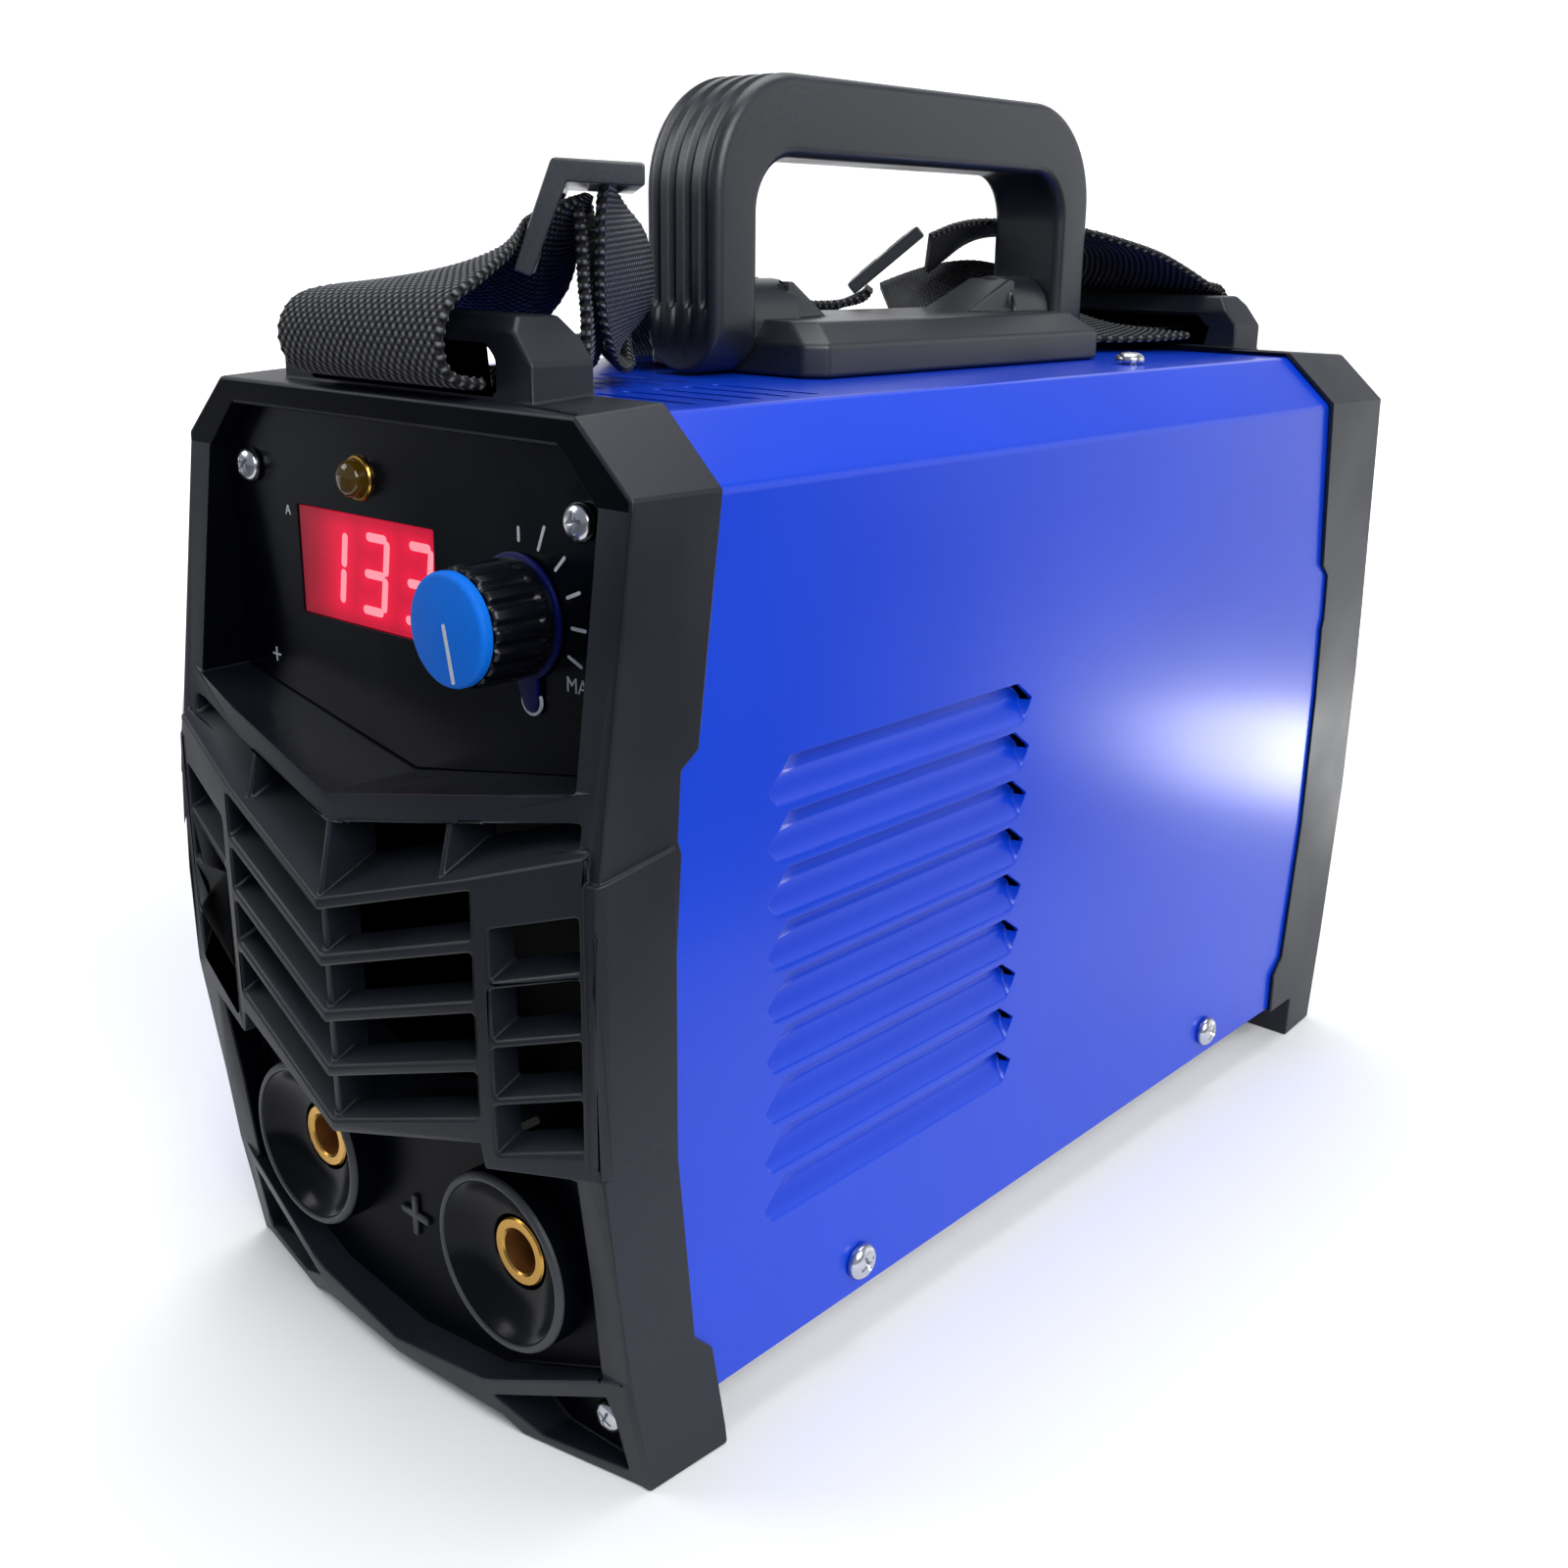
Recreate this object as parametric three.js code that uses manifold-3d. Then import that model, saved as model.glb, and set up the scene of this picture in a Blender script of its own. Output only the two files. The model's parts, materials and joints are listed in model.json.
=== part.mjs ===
// A portable stick-welding inverter: sheet-steel cover between two moulded end bezels,
// folding carry handle, shoulder strap, control panel, weld sockets, fan and power stage.
// Millimetres, +Z up. The control panel faces -Y and +X is the machine's right side.
import * as THREE from 'three';
import { mergeVertices } from 'three/addons/utils/BufferGeometryUtils.js';
import Module from 'manifold-3d';

const wasm = await Module();
wasm.setup();

// ---------------------------------------------------------------- driving sizes
const GAP = 0.3; // clearance between pieces that touch
const SHEET = 1.2; // steel sheet of the cover and the tray
const TRAY_TALL = 17.6;

// cover: folded sheet, open at the bottom and at both ends
const COVER_HALF = 65;
const COVER_TOP = 197.3;
const COVER_BOTTOM = 13.4;
const COVER_END = 127.4; // the cover's edge, from the middle, hidden inside each bezel
const SHOULDER_WIDE = 13; // the sloped shoulder between side and top
const SHOULDER_TALL = 11.6;

// louvres pressed inwards in both sides
const LOUVRE_COUNT = 9;
const LOUVRE_PITCH = 10.67;
const LOUVRE_TOP = 136.5;
const LOUVRE_TALL = 9.2;
const LOUVRE_DEEP = 3.4;
const LOUVRE_FRONT = -100.5;
const LOUVRE_LONG = 83;
const LOUVRE_SLANT = 5.5;

// vent slots in the top, near the front
const SLOT_ROWS = 5;
const SLOT_PITCH = 8;
const SLOT_LONG = 27;
const SLOT_WIDE = 2.4;
const SLOT_FIRST = -100;

// bezels: outline seen from the front, and stations of the side profile
const BEZEL_LIP = 1.6; // how far the bezel stands outside the cover
const BEZEL_DRAFT = 1.5;
const BEZEL_WALL = 2.5;
const FOOT_INNER = 38;
const FOOT_TALL = 4;
const PANEL_FACE = -129; // front face of the control plate
const PLATE = 2;
const RECESS_HALF = COVER_HALF - 7.5;
const RECESS_TOP = COVER_TOP - 4.7;
const RECESS_CORNER = 9;
const RECESS_V = 127.3; // middle of the panel's V-shaped lower edge
const RECESS_CLIMB = 10.7; // from there up to its sides
const RECESS_SIDE_LOW = RECESS_V + RECESS_CLIMB;
const LIP_FRONT = -140.6; // bowed lip under the sockets
const LIP_HALF = COVER_HALF - 1.8;
const PANEL_SCREW_X = RECESS_HALF - 8.3;
const PANEL_SCREW_Z = RECESS_TOP - 12.3;
const FOOT_SCREW_X = COVER_HALF - 11.4;
const FOOT_SCREW_Z = 10.6;
const FOOT_SCREW_FACE = -130;

// bowed nose of the front bezel: slanted bars between two side boxes, below a wide opening
const NOSE_FRONT = -153;
const NOSE_BOW = 5.6; // the nose falls back this much from the middle to the box edge
const NOSE_SIDE = -142.4; // its front where it meets the bezel's side
const NOSE_BOX_HALF = 39;
const NOSE_HALF = COVER_HALF - 2.6;
const NOSE_ROWS = 4; // openings between the bars
const NOSE_PITCH = 11.4;
const NOSE_BAR = 2.4;
const NOSE_LEDGE = 107.6; // front edge of the top bar, at the middle
const NOSE_LOW = NOSE_LEDGE - NOSE_ROWS * NOSE_PITCH - NOSE_BAR;
const NOSE_RISE = 10.3; // the bars climb this much from the middle to the box edge
const NOSE_LEAN = 0.45; // drop of the bars towards the front, per millimetre
const BARS_DEEP = 6;
const LEDGE_DEEP = 13;
const BOX_LOW = 65; // lower edge of the side boxes beside the bars
const BOX_LOW_RISE = 4.6; // and from there up to their outer ends
const BOX_WINDOW_LOW = 99.1;
const BOX_WINDOW_TALL = 9.7;
const BOX_WINDOW_RISE = 4.7;
const BOX_WINDOW_PITCH = 11.15;
const BROW_BACK = 3.6; // the brow stands this much behind the nose
const BROW_LOW = RECESS_V - 5.4; // underside of the brow, at the middle
const BROW_RISE = 11.9;
const BROW_OPEN_HALF = NOSE_HALF - 3;
const GUSSET_X = [-31, 0, 30.2];
const GUSSET_HALF = 0.7;

// strap bracket moulded on top of each bezel
const BRACKET_HALF = 36.5;
const BRACKET_OPEN = 27;
const BRACKET_TOP = COVER_TOP + 14.7;
const BRACKET_BAR = 5.2;
const BRACKET_FRONT = 128.5;
const BRACKET_REAR = 114.5;

// control panel
const DISPLAY_X = -13.2;
const DISPLAY_Z = 163.3;
const DISPLAY_WIDE = 43;
const DISPLAY_TALL = 21.5;
const LAMP_Z = 181.2;
const LAMP_R = 3.7;
const KNOB_X = 32.5;
const KNOB_Z = 162;
const KNOB_R = 10.6;
const KNOB_LONG = 12.5;
const KNOB_CAP = 2.6;
const KNOB_CAP_R = 9.9;
const KNOB_RIBS = 18;
const SHAFT_R = 3;

// weld sockets
const SOCKET_X = 32.3;
const SOCKET_Z = 38.4;
const SOCKET_R = 18.2;
const SOCKET_RIM = -140;
const SOCKET_FLOOR = -133.2;
const SOCKET_NECK_R = 13.7;
const SOCKET_BACK = -112;
const SOCKET_BOWL_R = 15.4;
const BRASS_R = 7;
const BRASS_BORE = 5;
const BRASS_FACE = -134.6;
const BRASS_STUD_R = 4.2;
const BUSBAR_HALF = 8;
const BUSBAR_THICK = 3;
const BUSBAR_LONG = 27.6;

// handle and its plinth
const HINGE_Z = COVER_TOP + 10.9;
const HANDLE_FRONT = -58;
const HANDLE_REAR = 80;
const HANDLE_TOP = 257.5;
const HANDLE_HALF = 10.5;
const GRIP_THICK = 16.5;
const LEG_THICK = 13;
const HANDLE_OUTER_R = 24;
const HANDLE_INNER_R = 11;
const GROOVES = 4;
const GROOVE_WIDE = 2.3;
const GROOVE_DEEP = 1.5;
const PLINTH_HALF = 26;
const PLINTH_SIDE = COVER_TOP + 6.9;
const PLINTH_TOP = COVER_TOP + 11.3;
const PLINTH_BEVEL = 6.5;
const BARREL_R = 8.6;
const BARREL_LONG = 15;
const PIN_R = 2.6;

// webbing
const WEB = 48;
const WEB_EDGE = 25; // the webbing's right-hand edge where it wraps the brackets
const WEB_THICK = 2;

// rear end
const REAR_FLOOR = 145.5;
const FAN_SIZE = 92;
const FAN_THICK = 25;
const FAN_Z = 88;
const FAN_BORE = 43;
const FAN_HUB = 19;
const FAN_BLADES = 7;
const SWITCH_X = -26;
const SWITCH_Z = 163;
const GLAND_X = 26;
const GLAND_Z = 161;
const GLAND_R = 11;

// inside: boards and the power stage
const BOARD_Z = 27;
const BOARD_THICK = 1.6;
const BOARD_HALF = COVER_HALF - 15;
const BOARD_FRONT = -92;
const BOARD_REAR = 104;
const STANDOFF_X = BOARD_HALF - 6;
const STANDOFF_R = 4;
const CONTROL_BOARD_HALF = RECESS_HALF - 11.5;
const CONTROL_BOARD_LOW = DISPLAY_Z - 16.7;
const CONTROL_BOARD_TOP = RECESS_TOP - 8.6;
const MODULE_DEEP = 7;
const SINK_OUTER = BOARD_HALF - 2;
const SINK_FRONT = -80;
const SINK_BASE = 5;
const FIN_THICK = 2.2;
const SWITCH_SINK_INNER = 16;
const SWITCH_SINK_REAR = 20;
const SWITCH_SINK_TALL = 62;
const RECTIFIER_SINK_INNER = 18;
const RECTIFIER_SINK_REAR = -14;
const RECTIFIER_SINK_TALL = 50;
const CORE_LEFT = 6;
const CORE_RIGHT = 48;
const CORE_FRONT = -8;
const CORE_REAR = 44;
const CORE_TALL = 44;
const CORE_YOKE = 9;
const CORE_LEG = 7;
const CORE_WINDOW = 9;
const CAPACITOR_R = 14.5;
const CAPACITOR_TALL = 47;
const CAPACITOR_PITCH = 32;
const CAPACITOR_Y = 76;
const CHOKE_R = 13;
const CHOKE_THICK = 6.5;
const CHOKE_X = -30;
const CHOKE_Y = 40;

// ---------------------------------------------------------------- finishes
const finish = (color, roughness, metalness = 0, extra = {}) =>
  new THREE.MeshStandardMaterial({ color, roughness, metalness, ...extra });
const CHARCOAL = () => finish(0x2b2d30, 0.55);
const BLACK = () => finish(0x16171a, 0.5);
const BLUE_PAINT = () => finish(0x1730d6, 0.22);
const BLUE_CAP = () => finish(0x1668d2, 0.4);
const BRASS = () => finish(0xb98a3c, 0.3, 1);
const STEEL = () => finish(0xc4c6c8, 0.3, 1);
const ALUMINIUM = () => finish(0xb4b7ba, 0.4, 1);
const WEBBING = () => finish(0x1b1c1f, 0.9);
const BOARD_GREEN = () => finish(0x1d5a36, 0.5);

// ---------------------------------------------------------------- solid helpers
function toSolid(geometry) {
  const bare = geometry.clone();
  bare.deleteAttribute('normal');
  bare.deleteAttribute('uv');
  const merged = mergeVertices(bare, 1e-4);
  const index = merged.index.array;
  const kept = [];
  for (let i = 0; i < index.length; i += 3) {
    const [a, b, c] = [index[i], index[i + 1], index[i + 2]];
    if (a !== b && b !== c && c !== a) kept.push(a, b, c);
  }
  return new wasm.Manifold(new wasm.Mesh({
    numProp: 3,
    vertProperties: new Float32Array(merged.attributes.position.array),
    triVerts: new Uint32Array(kept),
  }));
}

function toGeometry(solid) {
  const mesh = solid.getMesh();
  const geometry = new THREE.BufferGeometry();
  geometry.setAttribute('position', new THREE.BufferAttribute(new Float32Array(mesh.vertProperties), 3));
  geometry.setIndex(new THREE.BufferAttribute(new Uint32Array(mesh.triVerts), 1));
  geometry.computeVertexNormals();
  return geometry;
}

const outline = (points) => new THREE.Shape(points.map(([a, b]) => new THREE.Vector2(a, b)));

const turned = (geometry, xTo, yTo, zTo) => {
  const axes = new THREE.Matrix4().makeBasis(xTo, yTo, zTo);
  return geometry.applyMatrix4(axes);
};
const X = new THREE.Vector3(1, 0, 0);
const Y = new THREE.Vector3(0, 1, 0);
const Z = new THREE.Vector3(0, 0, 1);

const extruded = (shape, depth, steps = 8) =>
  new THREE.ExtrudeGeometry(shape, { depth, bevelEnabled: false, curveSegments: steps });

// a shape drawn in (y, z), run along X
function prismX(shape, from, to, steps) {
  const g = turned(extruded(shape, to - from, steps), Y, Z, X);
  return toSolid(g.translate(from, 0, 0));
}

// a shape drawn in (x, z), run along Y
function prismY(shape, from, to, steps) {
  const g = turned(extruded(shape, to - from, steps), X, Z, Y.clone().negate());
  return toSolid(g.translate(0, to, 0));
}

// a shape drawn in (x, y), run along Z
function prismZ(shape, from, to, steps) {
  return toSolid(extruded(shape, to - from, steps).translate(0, 0, from));
}

function block(x0, x1, y0, y1, z0, z1) {
  const g = new THREE.BoxGeometry(x1 - x0, y1 - y0, z1 - z0);
  return toSolid(g.translate((x0 + x1) / 2, (y0 + y1) / 2, (z0 + z1) / 2));
}

function rodY(radius, from, to, x, z, sides = 24, endRadius = radius) {
  const g = new THREE.CylinderGeometry(endRadius, radius, to - from, sides);
  return toSolid(g.translate(x, (from + to) / 2, z));
}

function rodX(radius, from, to, y, z, sides = 16) {
  const g = new THREE.CylinderGeometry(radius, radius, to - from, sides).rotateZ(-Math.PI / 2);
  return toSolid(g.translate((from + to) / 2, y, z));
}

function rodZ(radius, from, to, x, y, sides = 24, endRadius = radius) {
  const g = new THREE.CylinderGeometry(endRadius, radius, to - from, sides).rotateX(Math.PI / 2);
  return toSolid(g.translate(x, y, (from + to) / 2));
}

// a straight-sided loft between two outlines with as many points, seen along an axis
function loft(low, high, from, to, place) {
  const n = low.length;
  const flat = low.map(([a, b]) => new THREE.Vector2(a, b));
  const caps = THREE.ShapeUtils.triangulateShape(flat, []);
  const ccw = THREE.ShapeUtils.area(flat) > 0;
  const points = [...low.map(([a, b]) => [a, b, from]), ...high.map(([a, b]) => [a, b, to])];
  const index = [];
  const face = (a, b, c) => index.push(...(ccw ? [a, b, c] : [a, c, b]));
  for (const [a, b, c] of caps) {
    index.push(c, b, a);
    index.push(a + n, b + n, c + n);
  }
  for (let i = 0; i < n; i += 1) {
    const j = (i + 1) % n;
    face(i, j, j + n);
    face(i, j + n, i + n);
  }
  const g = new THREE.BufferGeometry();
  g.setAttribute('position', new THREE.BufferAttribute(new Float32Array(points.flat()), 3));
  g.setIndex(index);
  return toSolid(turned(g, ...place));
}
const ALONG_Z = [X, Y, Z];
const ALONG_BACK = [X, Z, Y.clone().negate()]; // drawn in (x, z), grows towards -Y

const mirrored = (points) => [...points, ...points.slice().reverse().map(([a, b]) => [-a, b])];
const mirrorX = (solid) => solid.mirror([1, 0, 0]);

const group = new THREE.Group();
function place(name, solid, material) {
  const node = new THREE.Mesh(toGeometry(solid), material);
  node.name = name;
  group.add(node);
  return node;
}

// ---------------------------------------------------------------- shared outlines
// the cover seen from the front, moved outwards by grow
function coverLine(grow, bottom) {
  const slope = grow * 0.42;
  return mirrored([
    [COVER_HALF - SHOULDER_WIDE + slope, COVER_TOP + grow],
    [COVER_HALF + grow, COVER_TOP - SHOULDER_TALL + slope],
    [COVER_HALF + grow, bottom],
  ]);
}

// the bezel seen from the front: feet at the corners, a raised middle between them
function bezelLine(grow) {
  return mirrored([
    [COVER_HALF - SHOULDER_WIDE + grow * 0.42, COVER_TOP + grow],
    [COVER_HALF + grow, COVER_TOP - SHOULDER_TALL + grow * 0.42],
    [COVER_HALF + grow, 0],
    [FOOT_INNER, 0],
    [FOOT_INNER - 6, FOOT_TALL],
  ]);
}

// side profile of a bezel in (distance from the middle, height)
const EDGE_STEPS = [[116, 24], [120.6, 28.5], [124.5, 68], [124.6, 106], [123.4, 125.5], [124.2, 128],
  [123.4, 140.2], [119.4, 143.2], [114.1, 186], [113.4, 230]];
const FRONT_FOOT = [[111.8, -1], [112.3, 3]];
const REAR_FOOT = [[130, -1], [130.6, 11.8], [116.4, 12.4]];
const FRONT_STEPS = [[131.8, -1], [136.6, 26.4], [138.4, 44], [142.4, 73], [142.4, 108], [141.2, 126.4],
  [138.6, 144], [133.4, 184], [132.9, 230]];
const REAR_STEPS = [[147, -1], [150.4, 26.4], [152, 44], [154.4, 73], [154.4, 108], [153.4, 126.4],
  [152, 144], [149, 184], [148.5, 230]];

// the V-shaped band: lines that climb from the middle to the sides
const climb = (x) => (Math.abs(x) / NOSE_BOX_HALF) * NOSE_RISE;
const browClimb = (x) => (Math.abs(x) / NOSE_HALF) * BROW_RISE;

// ---------------------------------------------------------------- bezels
// shell of either end: outline with draft, cut to the side profile, hollow behind its face
function bezelShell(foot, steps, floor) {
  const far = steps[0][0] + 30;
  const skin = loft(bezelLine(BEZEL_LIP), bezelLine(BEZEL_LIP - (BEZEL_DRAFT * (far - 112)) / 26), 111.5, far,
    ALONG_BACK);
  const side = outline([...foot, ...EDGE_STEPS, ...steps.slice().reverse()].map(([d, z]) => [-d, z]));
  let shell = skin.intersect(prismX(side, -80, 80));
  const pocket = prismY(outline(coverLine(GAP, COVER_BOTTOM - GAP)), -COVER_END - GAP, -100);
  const inner = prismY(outline(coverLine(-SHEET - GAP, COVER_BOTTOM + SHEET)), -COVER_END - 5, -floor + 4.5);
  shell = shell.subtract(pocket.subtract(inner));
  const hollow = prismY(outline(coverLine(-SHEET - GAP, COVER_BOTTOM - GAP)), -floor + 4.4, -100);
  return shell.subtract(hollow);
}

function strapBracket(end) {
  const side = outline([[0, COVER_TOP], [0, BRACKET_TOP - 2.5], [2.5, BRACKET_TOP], [11.5, BRACKET_TOP],
    [BRACKET_FRONT - BRACKET_REAR, BRACKET_TOP - 4], [BRACKET_FRONT - BRACKET_REAR, COVER_TOP]]);
  const front = outline(mirrored([
    [BRACKET_HALF - 7, BRACKET_TOP + 1], [BRACKET_HALF, BRACKET_TOP - 7.5],
    [BRACKET_HALF, COVER_TOP + BEZEL_LIP - 1.2],
  ]));
  const opening = outline(mirrored([
    [BRACKET_OPEN - 2, BRACKET_TOP - BRACKET_BAR], [BRACKET_OPEN, BRACKET_TOP - BRACKET_BAR - 2],
    [BRACKET_OPEN, COVER_TOP + BEZEL_LIP + 0.4],
  ]));
  const loop = prismX(side, -60, 60).translate([0, -BRACKET_FRONT, 0])
    .intersect(prismY(front, -140, -100))
    .subtract(prismY(opening, -140, -100));
  return end > 0 ? loop.mirror([0, 1, 0]) : loop;
}

function frontBezel() {
  let body = bezelShell(FRONT_FOOT, FRONT_STEPS, 131.2);
  // bowed nose that carries the grille, in front of the shell, and the brow above it
  const plan = outline(mirrored([
    [0.01, NOSE_FRONT], [NOSE_BOX_HALF, NOSE_FRONT + NOSE_BOW], [NOSE_HALF + 1, NOSE_SIDE],
    [NOSE_HALF + 1, PANEL_FACE - 1],
  ]));
  const nose = prismZ(plan, BROW_LOW - 80, RECESS_SIDE_LOW + 12);
  const face = outline(mirrored([
    [0.01, BROW_LOW], [NOSE_HALF, BROW_LOW + BROW_RISE], [NOSE_HALF, BOX_LOW + BOX_LOW_RISE],
    [NOSE_BOX_HALF + 0.4, BOX_LOW], [NOSE_BOX_HALF - 0.4, NOSE_LOW + NOSE_RISE], [0.01, NOSE_LOW],
  ]));
  const brow = outline(mirrored([
    [0.01, RECESS_V], [NOSE_HALF, RECESS_V + BROW_RISE], [NOSE_HALF, BROW_LOW + BROW_RISE], [0.01, BROW_LOW],
  ]));
  // a shape drawn in the nose's front plane, run backwards and upwards along the bars' slope
  const slope = new THREE.Matrix4().set(1, 0, 0, 0, 0, 1, 0, 0, 0, NOSE_LEAN, 1, -NOSE_LEAN * NOSE_FRONT, 0, 0, 0, 1);
  const sloped = (points, rear) => {
    const g = turned(extruded(outline(points), rear + 165), ...ALONG_BACK).translate(0, rear, 0);
    return toSolid(g.applyMatrix4(slope));
  };
  const underLedge = sloped(mirrored([
    [0.01, NOSE_LEDGE], [NOSE_HALF, NOSE_LEDGE + climb(NOSE_HALF)], [NOSE_HALF, 0], [0.01, 0],
  ]), PANEL_FACE + 1);
  body = body.add(nose.intersect(prismY(face, -165, PANEL_FACE + 1)).intersect(underLedge));
  body = body.add(nose.translate([0, BROW_BACK, 0]).intersect(prismY(brow, -165, PANEL_FACE + 4)));
  // raised band that carries the nose round to each side
  const wrap = prismZ(outline([
    [NOSE_HALF - 2, -141], [NOSE_HALF, NOSE_SIDE - 0.2], [COVER_HALF - 0.2, NOSE_SIDE + 0.4],
    [COVER_HALF + 0.7, -140.2], [COVER_HALF + BEZEL_LIP, -125.2], [COVER_HALF + 0.6, -125.2],
    [COVER_HALF + 0.6, -128.5], [NOSE_HALF - 2, -128.5],
  ]), 60, 130).intersect(prismX(outline([[-143, 69.6], [-125, 73.5], [-125, 127.3], [-143, 124.1]]), 50, 80));
  body = body.add(wrap).add(mirrorX(wrap));
  // bowed lip under the sockets, leaning forward as it rises
  const lipPlan = outline(mirrored([
    [0.01, LIP_FRONT], [30.5, LIP_FRONT + 2], [36, LIP_FRONT + 3.1], [LIP_HALF, LIP_FRONT + 8.6],
    [LIP_HALF, LIP_FRONT + 14.6],
  ]));
  const lipFace = outline(mirrored([
    [0.01, 7], [27, 10.6], [57, 23.8], [LIP_HALF, 25.6], [LIP_HALF, 0], [FOOT_INNER - 2, 0],
    [FOOT_INNER - 7, 3.4],
  ]));
  const forwards = new THREE.Matrix4().set(1, 0, 0, 0, 0, 1, -0.18, 0, 0, 0, 1, 0, 0, 0, 0, 1);
  const lip = toSolid(extruded(lipPlan, 30).applyMatrix4(forwards));
  body = body.add(lip.intersect(prismY(lipFace, -165, -127)));
  // control panel recess with a V-shaped lower edge, and the window behind the plate
  const recess = outline(mirrored([
    [RECESS_HALF - RECESS_CORNER, RECESS_TOP], [RECESS_HALF, RECESS_TOP - RECESS_CORNER],
    [RECESS_HALF, RECESS_SIDE_LOW], [0.01, RECESS_V],
  ]));
  body = body.subtract(prismY(recess, -165, PANEL_FACE + PLATE + GAP));
  const window_ = outline(mirrored([
    [RECESS_HALF - 11.5, RECESS_TOP - 6.6], [RECESS_HALF - 5.5, RECESS_TOP - 12.6],
    [RECESS_HALF - 5.5, RECESS_SIDE_LOW + 8], [0.01, RECESS_V + 8.7],
  ]));
  body = body.subtract(prismY(window_, -140, -100));
  // hollow behind the bars, and the deeper one behind the top bar's ledge
  const behind = (deep) => prismZ(outline(mirrored([
    [0.01, NOSE_FRONT + deep], [NOSE_BOX_HALF - 1, NOSE_FRONT + deep + NOSE_BOW],
    [NOSE_HALF - 2.4, NOSE_FRONT + deep + 10.4], [NOSE_HALF - 2.4, PANEL_FACE + 9],
  ])), 40, 160);
  const underside = NOSE_LEDGE - 1.2;
  const lowHollow = outline(mirrored([
    [0.01, underside], [NOSE_HALF - 2.4, underside + climb(NOSE_HALF - 2.4)],
    [NOSE_HALF - 2.4, BOX_LOW + BOX_LOW_RISE + 2.4], [NOSE_BOX_HALF, BOX_LOW + 2.8], [36, NOSE_LOW + 12.4],
    [0.01, NOSE_LOW + 2.6],
  ]));
  body = body.subtract(behind(BARS_DEEP).intersect(prismY(lowHollow, -165, -110)));
  const underBrow = outline(mirrored([
    [0.01, BROW_LOW], [BROW_OPEN_HALF, BROW_LOW + browClimb(BROW_OPEN_HALF)], [BROW_OPEN_HALF, 90], [0.01, 90],
  ]));
  const overLedge = sloped(mirrored([
    [0.01, NOSE_LEDGE], [BROW_OPEN_HALF, NOSE_LEDGE + climb(BROW_OPEN_HALF)], [BROW_OPEN_HALF, 190], [0.01, 190],
  ]), -120);
  const opening = prismY(underBrow, -165, -110);
  body = body.subtract(opening.intersect(overLedge)).subtract(opening.intersect(behind(LEDGE_DEEP)));
  for (const x of GUSSET_X) {
    const front = NOSE_FRONT + (NOSE_BOW * Math.abs(x)) / NOSE_BOX_HALF;
    const [ledge, top, back] = [NOSE_LEDGE + climb(x), BROW_LOW + browClimb(x) + 0.6, front + LEDGE_DEEP + 0.6];
    const gusset = outline([
      [front + BROW_BACK + 0.5, top], [front + 0.8, ledge - 0.4], [back, ledge + 2], [back, top],
    ]);
    body = body.add(prismX(gusset, x - GUSSET_HALF, x + GUSSET_HALF));
  }
  // openings between the bars, and the windows in the side boxes
  for (let row = 1; row <= NOSE_ROWS; row += 1) {
    const low = NOSE_LEDGE - row * NOSE_PITCH;
    const half = NOSE_BOX_HALF - 0.6;
    const high = low + NOSE_PITCH - NOSE_BAR;
    body = body.subtract(sloped(mirrored([
      [0.01, high], [half, high + climb(half)], [half, low + climb(half)], [0.01, low],
    ]), -130));
  }
  for (const side of [-1, 1]) {
    for (let row = 0; row < NOSE_ROWS; row += 1) {
      const low = BOX_WINDOW_LOW - row * BOX_WINDOW_PITCH;
      const [a, b] = [side * (NOSE_BOX_HALF + 3.3), side * (NOSE_HALF - 1.2)];
      const outer = low + BOX_WINDOW_RISE;
      body = body.subtract(sloped([
        [a, low], [b, outer], [b, outer + BOX_WINDOW_TALL], [a, low + BOX_WINDOW_TALL],
      ], -126));
    }
  }
  // mid rib behind the bars
  body = body.add(block(-1, 1, NOSE_FRONT + 1.6, NOSE_FRONT + BARS_DEEP + 3, NOSE_LOW + 1.8, NOSE_LEDGE - 1));
  // socket recess, its floor and the two socket holes
  const well = outline(mirrored([
    [0.01, NOSE_LOW - 0.2], [NOSE_BOX_HALF - 0.6, NOSE_LOW + NOSE_RISE - 0.4], [NOSE_BOX_HALF + 0.2, BOX_LOW - 0.3],
    [57.5, BOX_LOW + 3.3], [57, 23.8], [27, 10.6], [0.01, 7],
  ]));
  body = body.subtract(prismY(well, -165, SOCKET_FLOOR));
  const wellBack = outline(mirrored([
    [0.01, NOSE_LOW - 3], [38, NOSE_LOW + 4], [NOSE_HALF - 3, BOX_LOW + 1.4], [NOSE_HALF - 3, 20], [0.01, 16],
  ]));
  body = body.subtract(prismY(wellBack, SOCKET_FLOOR + BEZEL_WALL, -110));
  for (const side of [-1, 1]) {
    body = body.subtract(rodY(SOCKET_NECK_R + GAP, -150, -110, side * SOCKET_X, SOCKET_Z, 32));
    const pocket = outline([[side * 29.5, 7.6], [side * 59, 20.4], [side * 60.6, 3.2], [side * 40.5, 2.4]]);
    body = body.subtract(prismY(pocket, -165, FOOT_SCREW_FACE));
    body = body.subtract(rodY(1.8, -140, -118, side * FOOT_SCREW_X, FOOT_SCREW_Z, 12));
    body = body.subtract(rodY(1.8, -140, -118, side * PANEL_SCREW_X, PANEL_SCREW_Z, 12));
  }
  return body.add(strapBracket(-1));
}

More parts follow.
